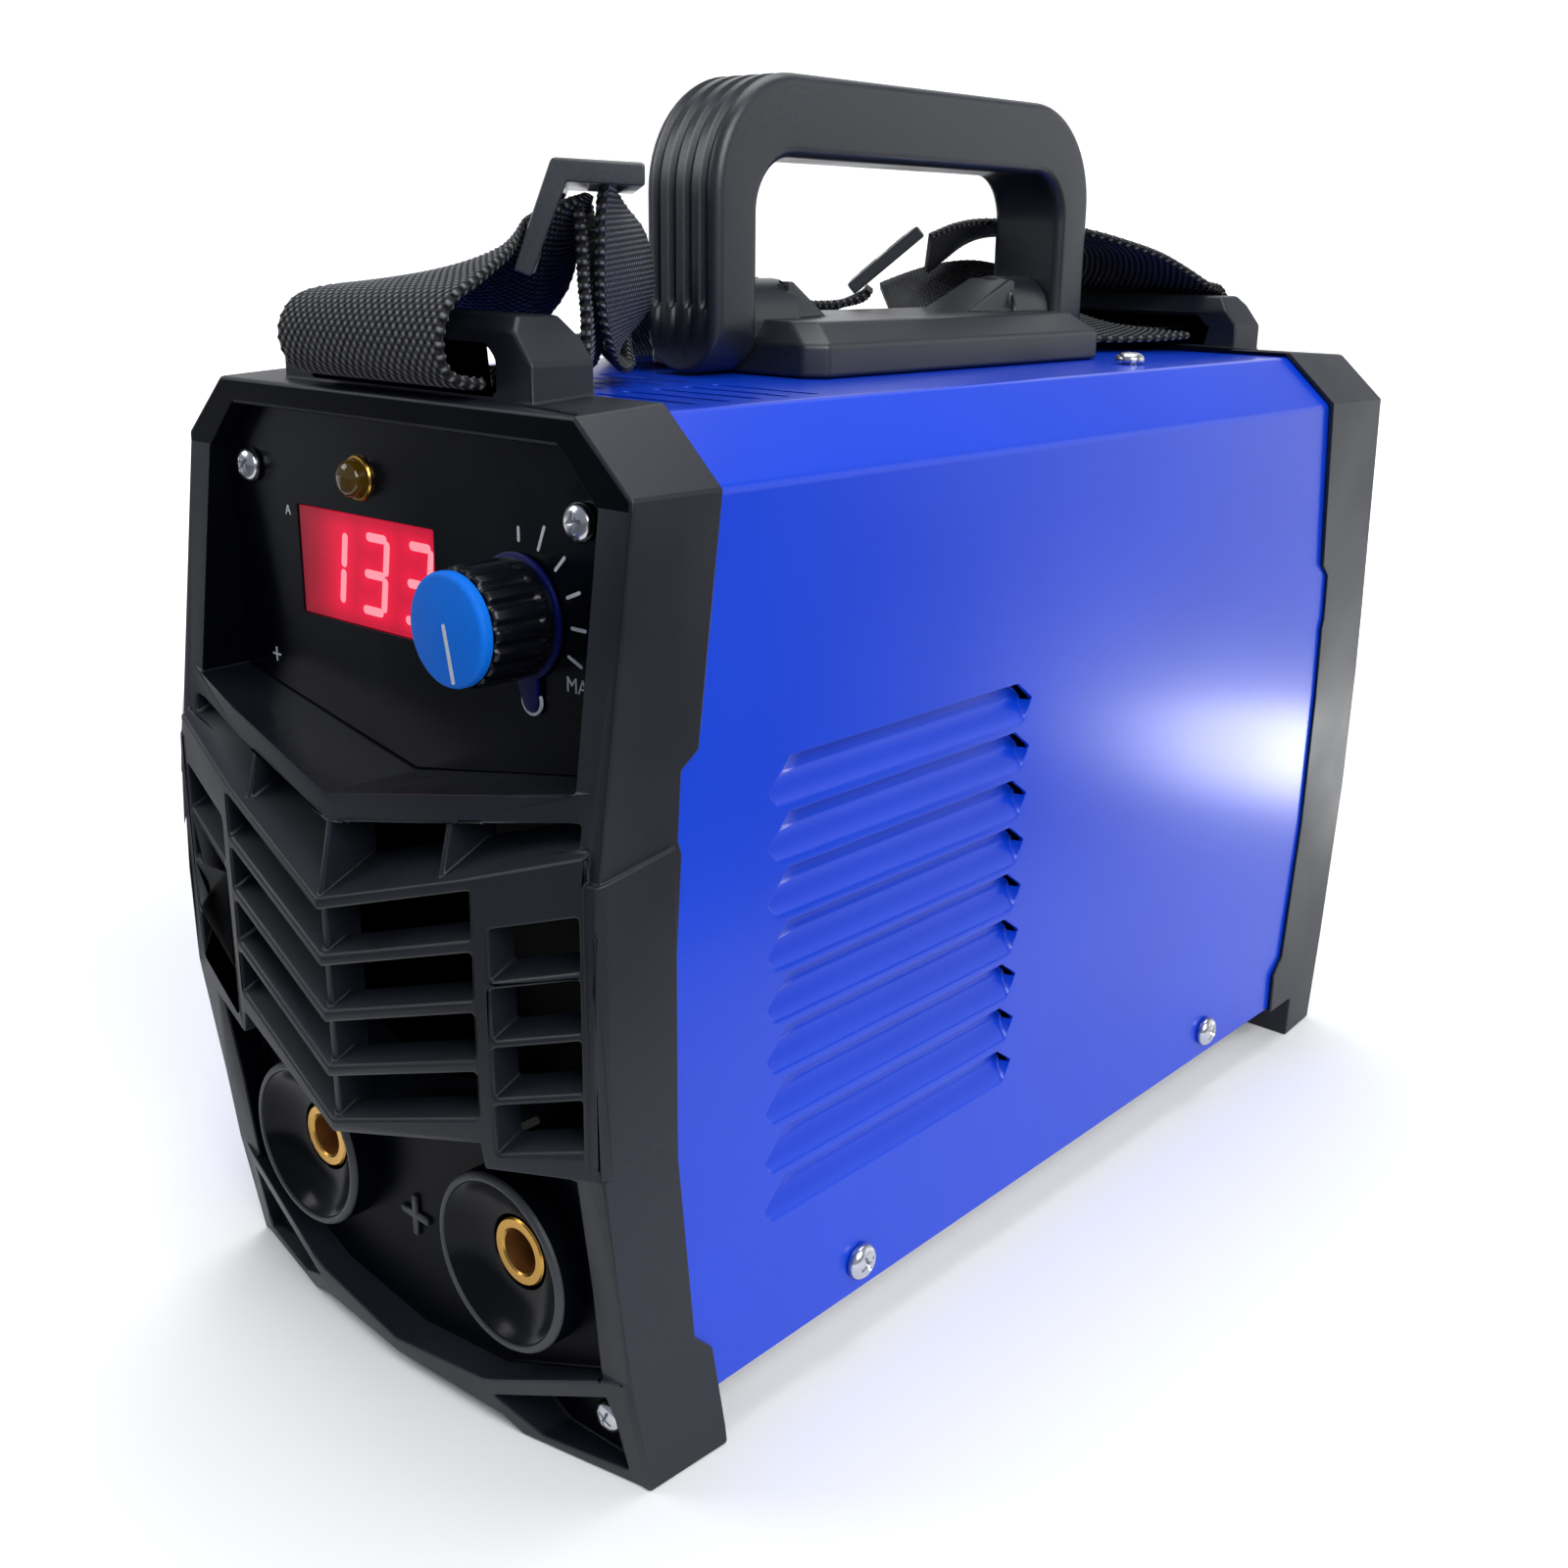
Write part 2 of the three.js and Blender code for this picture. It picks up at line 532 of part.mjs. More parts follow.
function rearBezel() {
  let body = bezelShell(REAR_FOOT, REAR_STEPS, REAR_FLOOR).mirror([0, 1, 0]);
  const recess = outline(mirrored([[46, 189], [55, 180], [55, 28], [48, 20]]));
  body = body.subtract(prismY(recess, REAR_FLOOR, 170));
  const back = outline(mirrored([[46, 190], [58, 180], [58, 22], [48, 16]]));
  body = body.subtract(prismY(back, 120, REAR_FLOOR - BEZEL_WALL));
  body = body.subtract(rodY(FAN_BORE, 120, 170, 0, FAN_Z, 40));
  body = body.subtract(block(SWITCH_X - 11, SWITCH_X + 11, 120, 170, SWITCH_Z - 14, SWITCH_Z + 14));
  body = body.subtract(rodY(8, 120, 170, GLAND_X, GLAND_Z, 24));
  return body.add(strapBracket(1));
}

// ---------------------------------------------------------------- cover
function louvreRamp(grow) {
  // thickness grows from nothing at the bottom edge to the full depth at the top edge
  const edge = COVER_HALF + 0.6;
  const low = LOUVRE_TOP - LOUVRE_TALL;
  const line = [[edge, low - grow], [edge, LOUVRE_TOP], [COVER_HALF - LOUVRE_DEEP - grow, LOUVRE_TOP],
    [COVER_HALF - 0.3 - grow, low - grow]];
  const back = LOUVRE_FRONT + LOUVRE_LONG;
  const plan = outline([
    [LOUVRE_FRONT + LOUVRE_SLANT - grow, LOUVRE_TOP + 1], [back - LOUVRE_SLANT + grow, LOUVRE_TOP + 1],
    [back + grow, LOUVRE_TOP - 4], [back - 3 + grow, low - grow - 1], [LOUVRE_FRONT + 2 - grow, low - grow - 1],
    [LOUVRE_FRONT - grow, LOUVRE_TOP - 6],
  ]);
  return prismY(outline(line), -120, 20).intersect(prismX(plan, 50, 70));
}

function cover() {
  const outer = coverLine(0, COVER_BOTTOM);
  const inner = coverLine(-SHEET, COVER_BOTTOM - 5);
  let sheet = prismY(outline(outer), -COVER_END, COVER_END)
    .subtract(prismY(outline(inner), -COVER_END - 1, COVER_END + 1));
  const cut = louvreRamp(0);
  const skin = louvreRamp(SHEET).intersect(block(COVER_HALF - 12, COVER_HALF - 0.01, -130, 30, 20, LOUVRE_TOP));
  for (let i = 0; i < LOUVRE_COUNT; i += 1) {
    const down = [0, 0, -i * LOUVRE_PITCH];
    const add = skin.translate(down);
    const cutNow = cut.translate(down);
    sheet = sheet.add(add).add(mirrorX(add)).subtract(cutNow).subtract(mirrorX(cutNow));
  }
  for (let row = 0; row < SLOT_ROWS; row += 1) {
    const y = SLOT_FIRST + row * SLOT_PITCH;
    for (const x of [-33, 0, 33]) {
      sheet = sheet.subtract(block(x - SLOT_LONG / 2, x + SLOT_LONG / 2, y - SLOT_WIDE / 2, y + SLOT_WIDE / 2,
        COVER_TOP - 5, COVER_TOP + 5));
    }
  }
  for (const y of SIDE_SCREW_Y) {
    for (const side of [-1, 1]) {
      sheet = sheet.subtract(rodX(2.4, side > 0 ? 55 : -75, side > 0 ? 75 : -55, y, SIDE_SCREW_Z, 12));
    }
  }
  for (const side of [-1, 1]) {
    sheet = sheet.subtract(rodZ(2.4, COVER_TOP - 5, COVER_TOP + 5, side * TOP_SCREW_X, TOP_SCREW_Y, 12));
  }
  return sheet;
}

// ---------------------------------------------------------------- screws
const SIDE_SCREW_Y = [-71, 77];
const SIDE_SCREW_Z = 20.7;
const TOP_SCREW_X = 40.4;
const TOP_SCREW_Y = 54.4;

// a pan-head screw pointing along +Z at the origin, head on z = 0 and above
function screw(headR, headTall, shankR, shankLong) {
  const profile = [[0, -shankLong], [shankR, -shankLong], [shankR, 0], [headR, 0], [headR, headTall * 0.45],
    [headR * 0.62, headTall], [0, headTall]].map(([r, z]) => new THREE.Vector2(r, z));
  const body = toSolid(new THREE.LatheGeometry(profile, 14).rotateX(Math.PI / 2));
  const reach = headR * 0.5;
  const slot = 0.13 * headR;
  return body.subtract(block(-reach, reach, -slot, slot, headTall * 0.4, headTall + 1))
    .subtract(block(-slot, slot, -reach, reach, headTall * 0.4, headTall + 1));
}

// ---------------------------------------------------------------- handle
function archLine(front, rear, top, radius, bottom) {
  const shape = new THREE.Shape();
  shape.moveTo(front, bottom);
  shape.lineTo(rear, bottom);
  shape.lineTo(rear, top - radius);
  shape.absarc(rear - radius, top - radius, radius, 0, Math.PI / 2, false);
  shape.absarc(front + radius, top - radius, radius, Math.PI / 2, Math.PI, false);
  shape.lineTo(front, bottom);
  return shape;
}

function handleBody() {
  const low = HINGE_Z - HANDLE_HALF - 1;
  const whole = prismX(archLine(HANDLE_FRONT, HANDLE_REAR, HANDLE_TOP, HANDLE_OUTER_R, low), -HANDLE_HALF,
    HANDLE_HALF, 7);
  const hole = prismX(archLine(HANDLE_FRONT + LEG_THICK, HANDLE_REAR - LEG_THICK, HANDLE_TOP - GRIP_THICK,
    HANDLE_INNER_R, low - 1), -20, 20, 5);
  let body = whole.subtract(hole);
  // rounded lower ends, round the hinge axis, and eased long edges
  const front = new THREE.Shape();
  front.moveTo(HANDLE_HALF, HANDLE_TOP - 4);
  front.lineTo(HANDLE_HALF - 3, HANDLE_TOP);
  front.lineTo(-HANDLE_HALF + 3, HANDLE_TOP);
  front.lineTo(-HANDLE_HALF, HANDLE_TOP - 4);
  front.lineTo(-HANDLE_HALF, HINGE_Z);
  front.absarc(0, HINGE_Z, HANDLE_HALF, Math.PI, Math.PI * 2, false);
  body = body.intersect(prismY(front, -90, 110, 7));
  // grooves that run round the outside of the grip
  const below = HINGE_Z - 20;
  const over = prismX(archLine(HANDLE_FRONT - 3, HANDLE_REAR + 3, HANDLE_TOP + 3, HANDLE_OUTER_R + 3, below), -1, 1, 7)
    .intersect(block(-2, 2, HANDLE_FRONT - 5, HANDLE_REAR + 5, HINGE_Z + 2, HANDLE_TOP + 5));
  const keep = prismX(archLine(HANDLE_FRONT + GROOVE_DEEP, HANDLE_REAR - GROOVE_DEEP, HANDLE_TOP - GROOVE_DEEP,
    HANDLE_OUTER_R - GROOVE_DEEP, below), -2, 2, 7);
  const ring = over.subtract(keep).scale([GROOVE_WIDE / 2, 1, 1]);
  const pitch = (2 * HANDLE_HALF - 3) / GROOVES;
  for (let i = 0; i < GROOVES; i += 1) {
    body = body.subtract(ring.translate([(i - (GROOVES - 1) / 2) * pitch, 0, 0]));
  }
  for (const [a, b] of [[HANDLE_FRONT + 4, HANDLE_FRONT + 30], [HANDLE_REAR - 30, HANDLE_REAR - 4]]) {
    body = body.subtract(rodY(PIN_R + GAP, a, b, 0, HINGE_Z, 16));
  }
  return body;
}

function handleBase() {
  const front = HANDLE_FRONT + LEG_THICK + 0.4;
  const rear = HANDLE_REAR - LEG_THICK - 0.4;
  const cut = 4;
  const plan = (inset) => [
    [PLINTH_HALF - inset, front + inset * 0.5 + cut], [PLINTH_HALF - inset, rear - inset * 0.5 - cut],
    [PLINTH_HALF - inset - cut, rear - inset * 0.5], [-PLINTH_HALF + inset + cut, rear - inset * 0.5],
    [-PLINTH_HALF + inset, rear - inset * 0.5 - cut], [-PLINTH_HALF + inset, front + inset * 0.5 + cut],
    [-PLINTH_HALF + inset + cut, front + inset * 0.5], [PLINTH_HALF - inset - cut, front + inset * 0.5],
  ];
  const floor = COVER_TOP + GAP;
  let body = prismZ(outline(plan(0)), floor, PLINTH_SIDE)
    .add(loft(plan(0), plan(PLINTH_BEVEL), PLINTH_SIDE - 0.01, PLINTH_TOP, ALONG_Z));
  for (const [a, b, toe] of [[front, front + BARREL_LONG, front + BARREL_LONG + 13],
    [rear - BARREL_LONG, rear, rear - BARREL_LONG - 20]]) {
    const inner = toe > b ? b : a;
    const hub = rodY(BARREL_R, a, b, 0, HINGE_Z, 24);
    const seat = inner - Math.sign(toe - inner) * 2;
    const ramp = prismX(outline([
      [inner, HINGE_Z + BARREL_R - 0.6], [seat, HINGE_Z + BARREL_R - 0.6], [seat, HINGE_Z - 4], [inner, HINGE_Z - 4],
      [toe, PLINTH_TOP - 2], [toe, PLINTH_TOP - 1],
    ]), -6.5, 6.5);
    body = body.add(hub).add(ramp);
  }
  body = body.intersect(block(-60, 60, -200, 200, floor, 300));
  for (const [a, b] of [[front - 1, front + BARREL_LONG - 3], [rear - BARREL_LONG + 3, rear + 1]]) {
    body = body.subtract(rodY(PIN_R + GAP, a, b, 0, HINGE_Z, 16));
  }
  return body;
}

// ---------------------------------------------------------------- webbing
// a band between two edge curves, thick across its face
function band(nearPoints, farPoints, steps, columns = 3) {
  const curve = (points) => new THREE.CatmullRomCurve3(
    points.map(([x, y, height]) => new THREE.Vector3(x, y, COVER_TOP + height)),
  );
  const near = curve(nearPoints);
  const far = curve(farPoints);
  const rows = [];
  for (let i = 0; i <= steps; i += 1) {
    const t = i / steps;
    const a = near.getPoint(t);
    const b = far.getPoint(t);
    const ahead = near.getPoint(Math.min(1, t + 0.01)).add(far.getPoint(Math.min(1, t + 0.01)));
    const behind = near.getPoint(Math.max(0, t - 0.01)).add(far.getPoint(Math.max(0, t - 0.01)));
    const normal = ahead.sub(behind).cross(b.clone().sub(a)).normalize();
    const row = [];
    for (let c = 0; c <= columns; c += 1) {
      const s = c / columns;
      row.push(a.clone().lerp(b, s));
    }
    rows.push({ row, normal });
  }
  const points = [];
  for (const side of [0.5, -0.5]) {
    for (const { row, normal } of rows) {
      for (const p of row) points.push(...p.clone().addScaledVector(normal, side * WEB_THICK).toArray());
    }
  }
  const w = columns + 1;
  const half = (steps + 1) * w;
  const index = [];
  const quad = (a, b, c, d) => index.push(a, b, c, a, c, d);
  for (let i = 0; i < steps; i += 1) {
    for (let c = 0; c < columns; c += 1) {
      const k = i * w + c;
      quad(k, k + w, k + w + 1, k + 1);
      quad(half + k, half + k + 1, half + k + w + 1, half + k + w);
    }
    const n = i * w;
    quad(n, half + n, half + n + w, n + w);
    const f = n + columns;
    quad(f, f + w, half + f + w, half + f);
  }
  for (let c = 0; c < columns; c += 1) {
    quad(c, c + 1, half + c + 1, half + c);
    const k = steps * w + c;
    quad(k, half + k, half + k + 1, k + 1);
  }
  const g = new THREE.BufferGeometry();
  g.setAttribute('position', new THREE.BufferAttribute(new Float32Array(points), 3));
  g.setIndex(index);
  return toSolid(g);
}

// points of the two edges of each stretch: x, y and the height above the cover's top
const wrapped = (x, points) => points.map(([y, height]) => [x, y, height]);
const FRONT_WRAP = [[-113, 3.8], [-122, 3.8], [-131, 3.5], [-136, 5.5], [-137.4, 10.7]];
const FRONT_NEAR = [...wrapped(WEB_EDGE, FRONT_WRAP), [25, -134.6, 17.1], [25, -129, 20.5], [24, -121, 25.5],
  [20.9, -115.5, 30], [22.8, -112.1, 31.9], [26.1, -108.4, 33.9], [27.4, -106.9, 34.5]];
const FRONT_FAR = [...wrapped(WEB_EDGE - WEB, FRONT_WRAP), [-23, -134.4, 15.3], [-22.5, -127, 17.7],
  [-21, -108, 19.1], [-16.6, -87, 26.3], [-13.2, -80.3, 31.9], [-9.9, -76.6, 33.9], [-8.5, -75.1, 34.5]];

const SIDE_NEAR = [[29.4, -104.6, 39.1], [28.4, -105.2, 32.7], [26, -105.4, 26.7], [21.5, -101, 16.2],
  [12, -88, 8.7], [0, -72, 9.2], [-12, -58, 14.2], [-16.5, -44, 18.7], [-17.2, -26, 19.7], [-19.5, -8, 17.7],
  [-25.6, 4, 14.2], [-30, 13, 12.9], [-31.4, 22, 12.1], [-29.4, 31, 12.3], [-27.6, 36, 13.7],
  [-26.9, 37.1, 15.3]];
const SIDE_FAR = [[-6.5, -72.8, 39.1], [-7.5, -73.4, 32.7], [-11, -75, 24.7], [-22, -82, 12.2], [-36, -83, 4.7],
  [-48, -72, 3.2], [-55, -56, 1.9], [-58.5, -36, -0.5], [-60, -14, -2.1], [-60.6, 10, -2.5],
  [-61, 32, -0.3], [-61.4, 47, 3.7], [-61.2, 60, 8.1], [-59.4, 68.5, 11.5], [-57.6, 73.2, 13.7],
  [-56.9, 74.3, 15.3]];

const REAR_WRAP = [[121, 17.4], [127.6, 16.4], [131.2, 13.1], [131.4, 8.3], [127.4, 5.1]];
const REAR_NEAR = [[-15, 46.6, 29.1], [-14.8, 57, 31.7], [-15.2, 70, 32.9], [-9, 85, 32.3], [5, 89.4, 30.5],
  [14, 93.4, 28.1], [20, 102.6, 24.9], [23.4, 112.7, 20.7], ...wrapped(WEB_EDGE, REAR_WRAP),
  [24, 117, 4.3], [19.5, 101, 3.5], [11, 87, 3.3], [-5, 84.6, 4.1], [-15, 77.4, 5.7], [-24, 71.4, 7.1],
  [-28.6, 64, 8.3], [-30.2, 57, 9.3], [-30.8, 51, 9.9]];
const REAR_FAR = [[-45.2, 83.6, 28.3], [-45.2, 92, 30.1], [-45, 98, 31.1], [-43, 104, 31.1], [-39, 108, 30.1],
  [-34, 111.5, 28.3], [-29, 115, 25.3], [-24.4, 118.4, 21.1], ...wrapped(WEB_EDGE - WEB, REAR_WRAP),
  [-23.4, 119, 5.3], [-24, 111.4, 10.3], [-25, 107.2, 16.1], [-30, 103, 20.3], [-38, 98, 22.3],
  [-46, 92, 21.3], [-53, 89, 19.1], [-58, 87, 17.1], [-61.4, 84.4, 15.3]];

// webbing adjusters: each is seen end-on, so its long side runs away to the left and rear
const SLIDER_LONG = 57;
function sliderFront() {
  const bend = outline([[-7.2, -18.2], [-0.3, 0], [15.4, -0.6], [15.4, -4.4], [2.2, -3.9], [-4.1, -19.4]]);
  const ends = [-SLIDER_LONG + 3.4, -3.4];
  return prismX(bend, -SLIDER_LONG, 0)
    .subtract(block(...ends, 6.2, 12.4, -8, 5))
    .subtract(block(...ends, -9, 4, -15.4, -4.6))
    .rotate([0, 0, -41.5])
    .translate([27.2, -114.7, COVER_TOP + 40.1]);
}

function sliderRear() {
  const ends = [-SLIDER_LONG + 4, -4];
  return block(-SLIDER_LONG, 0, -11.3, 11.3, -1.6, 1.6)
    .subtract(block(...ends, 2, 7.8, -5, 5))
    .subtract(block(...ends, -7.8, -2, -5, 5))
    .rotate([40, 0, 0])
    .rotate([0, 0, -51.3])
    .translate([-21, 36, COVER_TOP + 22.9]);
}

// ---------------------------------------------------------------- inside
function fins(x0, x1, y0, y1, z0, z1, count) {
  let sink = block(x0, x0 + SINK_BASE, y0, y1, z0, z1);
  for (let i = 0; i < count; i += 1) {
    const z = z0 + ((z1 - z0 - FIN_THICK) * i) / (count - 1);
    sink = sink.add(block(x0 + SINK_BASE - 1, x1, y0, y1, z, z + FIN_THICK));
  }
  return sink;
}

function fanRotor() {
  const front = REAR_FLOOR - BEZEL_WALL - GAP - FAN_THICK;
  let rotor = rodY(FAN_HUB, front + 2, front + 19, 0, FAN_Z, 28);
  for (let i = 0; i < FAN_BLADES; i += 1) {
    const blade = new THREE.BoxGeometry(FAN_BORE - FAN_HUB + 1, 1.6, 19);
    blade.rotateX(0.9).translate((FAN_BORE + FAN_HUB) / 2 - 1.5, 0, 0).rotateY((i / FAN_BLADES) * Math.PI * 2);
    rotor = rotor.add(toSolid(blade.translate(0, front + 10.5, FAN_Z)));
  }
  return rotor.subtract(rodY(2.2, front - 1, front + 30, 0, FAN_Z, 12));
}

function fanFrame() {
  const rear = REAR_FLOOR - BEZEL_WALL - GAP;
  const front = rear - FAN_THICK;
  const half = FAN_SIZE / 2;
  let frame = block(-half, half, front, rear, FAN_Z - half, FAN_Z + half);
  frame = frame.subtract(rodY(FAN_BORE, front - 1, rear + 1, 0, FAN_Z, 40));
  for (const side of [-1, 1]) {
    const notch = block(half - 6, half + 1, front + 4, rear - 4, FAN_Z - half + 9, FAN_Z + half - 9);
    frame = frame.subtract(side > 0 ? notch : mirrorX(notch));
  }
  const motor = rodY(FAN_HUB, rear - 4.5, rear - 0.5, 0, FAN_Z, 28)
    .add(rodY(1.8, front + 3, rear - 3, 0, FAN_Z, 12));
  frame = frame.add(motor);
  for (const angle of [0.5, 2.1, 3.7, 5.3]) {
    const arm = new THREE.BoxGeometry(FAN_BORE - FAN_HUB + 4, 3, 4);
    arm.translate((FAN_BORE + FAN_HUB) / 2, 0, 0).rotateY(angle).translate(0, rear - 2.2, FAN_Z);
    frame = frame.add(toSolid(arm));
  }
  return frame;
}

function fanGuard() {
  const y = REAR_FLOOR + GAP;
  let guard = rodY(48, y, y + 2, 0, FAN_Z, 32).subtract(rodY(42.4, y - 1, y + 3, 0, FAN_Z, 32));
  for (const r of [33, 22]) {
    const ring = rodY(r + 1.5, y, y + 2, 0, FAN_Z, 24).subtract(rodY(r - 1.5, y - 1, y + 3, 0, FAN_Z, 24));
    guard = guard.add(ring);
  }
  guard = guard.add(rodY(10, y, y + 2, 0, FAN_Z, 16));
  for (let i = 0; i < 3; i += 1) {
    const arm = new THREE.BoxGeometry(88, 1.4, 3).rotateY((i * Math.PI) / 3 + 0.3);
    guard = guard.add(toSolid(arm.translate(0, y + 1, FAN_Z)));
  }
  return guard;
}

// ---------------------------------------------------------------- assembly
place('front_bezel', frontBezel(), CHARCOAL());
place('rear_bezel', rearBezel(), CHARCOAL());
place('cover', cover(), BLUE_PAINT());

const trayInside = block(-COVER_HALF + SHEET * 2 + 0.4, COVER_HALF - SHEET * 2 - 0.4, -200, 200,
  COVER_BOTTOM + SHEET, 60);
const trayHalf = COVER_HALF - SHEET - 0.4;
let tray = block(-trayHalf, trayHalf, -COVER_END + 1, COVER_END - 1, COVER_BOTTOM, COVER_BOTTOM + TRAY_TALL)
  .subtract(trayInside);
for (const x of [-STANDOFF_X, STANDOFF_X]) {
  for (const y of [BOARD_FRONT + 7, BOARD_REAR - 7]) {
    tray = tray.add(rodZ(STANDOFF_R, COVER_BOTTOM + 0.5, BOARD_Z - GAP, x, y, 14));
  }
}
for (const y of SIDE_SCREW_Y) tray = tray.subtract(rodX(2.4, -80, 80, y, SIDE_SCREW_Z, 12));
place('chassis_tray', tray, STEEL());

// control panel plate with its window, lamp hole and shaft hole
const plateLine = outline(mirrored([
  [RECESS_HALF - RECESS_CORNER - GAP, RECESS_TOP - GAP], [RECESS_HALF - GAP, RECESS_TOP - RECESS_CORNER - GAP],
  [RECESS_HALF - GAP, RECESS_SIDE_LOW + GAP], [0.01, RECESS_V + GAP],
]));
const windowHole = block(DISPLAY_X - DISPLAY_WIDE / 2, DISPLAY_X + DISPLAY_WIDE / 2, -150, -110,
  DISPLAY_Z - DISPLAY_TALL / 2, DISPLAY_Z + DISPLAY_TALL / 2);
let plate = prismY(plateLine, PANEL_FACE, PANEL_FACE + PLATE)
  .subtract(windowHole)
  .subtract(rodY(LAMP_R, -150, -110, DISPLAY_X, LAMP_Z, 24))
  .subtract(rodY(SHAFT_R + 1.2, -150, -110, KNOB_X, KNOB_Z, 24));
for (const side of [-1, 1]) {
  plate = plate.subtract(rodY(1.9, -150, -110, side * PANEL_SCREW_X, PANEL_SCREW_Z, 12));
}
place('control_panel', plate, BLACK());

const lensInset = 0.2;
const lens = block(DISPLAY_X - DISPLAY_WIDE / 2 + lensInset, DISPLAY_X + DISPLAY_WIDE / 2 - lensInset,
  PANEL_FACE + 0.3, PANEL_FACE + 1.8,
  DISPLAY_Z - DISPLAY_TALL / 2 + lensInset, DISPLAY_Z + DISPLAY_TALL / 2 - lensInset);
place('display_window', lens, finish(0xd4102e, 0.2));
const moduleFront = PANEL_FACE + PLATE + GAP;
place('display_module', block(DISPLAY_X - DISPLAY_WIDE / 2 + 1, DISPLAY_X + DISPLAY_WIDE / 2 - 1, moduleFront,
  moduleFront + MODULE_DEEP, DISPLAY_Z - DISPLAY_TALL / 2 + 1, DISPLAY_Z + DISPLAY_TALL / 2 - 1), finish(0xff4050, 0.4));
const lamp = rodY(LAMP_R - 0.2, PANEL_FACE - 2, PANEL_FACE + 8, DISPLAY_X, LAMP_Z, 20)
  .add(rodY(LAMP_R - 2, PANEL_FACE - 4, PANEL_FACE - 2, DISPLAY_X, LAMP_Z, 20, LAMP_R - 0.2));
place('power_lamp', lamp, finish(0xb8860b, 0.2));

const boardBack = moduleFront + MODULE_DEEP + GAP;
place('control_board', block(-CONTROL_BOARD_HALF, CONTROL_BOARD_HALF, boardBack, boardBack + BOARD_THICK,
  CONTROL_BOARD_LOW, CONTROL_BOARD_TOP), BOARD_GREEN());
const pot = rodY(8, PANEL_FACE + PLATE + 2.4, boardBack - GAP, KNOB_X, KNOB_Z, 20)
  .add(rodY(SHAFT_R + 1, PANEL_FACE + 0.4, PANEL_FACE + PLATE + 3, KNOB_X, KNOB_Z, 20))
  .subtract(rodY(SHAFT_R + GAP, -160, boardBack - 2, KNOB_X, KNOB_Z, 20));
place('potentiometer', pot, STEEL());
const knobFront = PANEL_FACE - 1 - KNOB_LONG;
place('potentiometer_shaft', rodY(SHAFT_R, knobFront + 3, boardBack - 2.6, KNOB_X, KNOB_Z, 20), STEEL());

// fluted knob with a skirt and pointer, hollow for the shaft
let knob = rodY(KNOB_R, knobFront, PANEL_FACE - 1, KNOB_X, KNOB_Z, 36);
for (let i = 0; i < KNOB_RIBS; i += 1) {
  const a = (i / KNOB_RIBS) * Math.PI * 2;
  knob = knob.subtract(rodY(0.9, knobFront - 1, PANEL_FACE - 3.4, KNOB_X + Math.cos(a) * (KNOB_R + 0.2),
    KNOB_Z + Math.sin(a) * (KNOB_R + 0.2), 8));
}
knob = knob.subtract(rodY(SHAFT_R + 0.2, knobFront + 2.7, PANEL_FACE, KNOB_X, KNOB_Z, 20));
place('knob_body', knob, BLACK());
place('knob_cap', rodY(KNOB_CAP_R - 0.6, knobFront - GAP - KNOB_CAP, knobFront - GAP - KNOB_CAP + 0.7, KNOB_X, KNOB_Z,
  36, KNOB_CAP_R).add(rodY(KNOB_CAP_R, knobFront - GAP - KNOB_CAP + 0.69, knobFront - GAP, KNOB_X, KNOB_Z, 36)),
BLUE_CAP());

// weld sockets: moulded bowls with brass inserts, and the bars that feed them
for (const [name, side] of [['negative', -1], ['positive', 1]]) {
  const x = side * SOCKET_X;
  const bowl = rodY(SOCKET_R, SOCKET_RIM + 1, SOCKET_FLOOR - GAP, x, SOCKET_Z, 40)
    .add(rodY(SOCKET_R - 1, SOCKET_RIM, SOCKET_RIM + 1, x, SOCKET_Z, 40, SOCKET_R))
    .add(rodY(SOCKET_NECK_R, SOCKET_FLOOR - 1, SOCKET_BACK, x, SOCKET_Z, 32))
    .subtract(rodY(SOCKET_BOWL_R, SOCKET_RIM - 1, SOCKET_FLOOR - 1.4, x, SOCKET_Z, 36, SOCKET_BOWL_R - 1.6))
    .subtract(rodY(SOCKET_NECK_R - 2.1, SOCKET_FLOOR - 2, SOCKET_BACK - 4, x, SOCKET_Z, 28))
    .subtract(rodY(BRASS_STUD_R + 0.4, SOCKET_BACK - 8, SOCKET_BACK + 12, x, SOCKET_Z, 20));
  place(`${name}_socket`, bowl, CHARCOAL());
  const brassBack = SOCKET_BACK - 4 - GAP;
  const brass = rodY(BRASS_R, BRASS_FACE, brassBack, x, SOCKET_Z, 32)
    .add(rodY(SOCKET_NECK_R - 2.5, brassBack - 5.7, brassBack, x, SOCKET_Z, 24))
    .subtract(rodY(BRASS_BORE, BRASS_FACE - 1, brassBack - 2.7, x, SOCKET_Z, 28))
    .add(rodY(BRASS_STUD_R, brassBack - 0.7, brassBack + 16.3, x, SOCKET_Z, 20));
  place(`${name}_insert`, brass, BRASS());
  const barFront = SOCKET_BACK + 0.4;
  const bar = block(x - BUSBAR_HALF, x + BUSBAR_HALF, barFront, barFront + BUSBAR_THICK, SOCKET_Z - 10, SOCKET_Z + 10)
    .add(block(x - BUSBAR_HALF, x + BUSBAR_HALF, barFront, barFront + BUSBAR_LONG, SOCKET_Z + 8,
      SOCKET_Z + 8 + BUSBAR_THICK))
    .subtract(rodY(BRASS_STUD_R + GAP, barFront - 3, barFront + 11, x, SOCKET_Z, 20));
  place(`${name}_busbar`, bar, finish(0xb0683c, 0.35, 1));
}

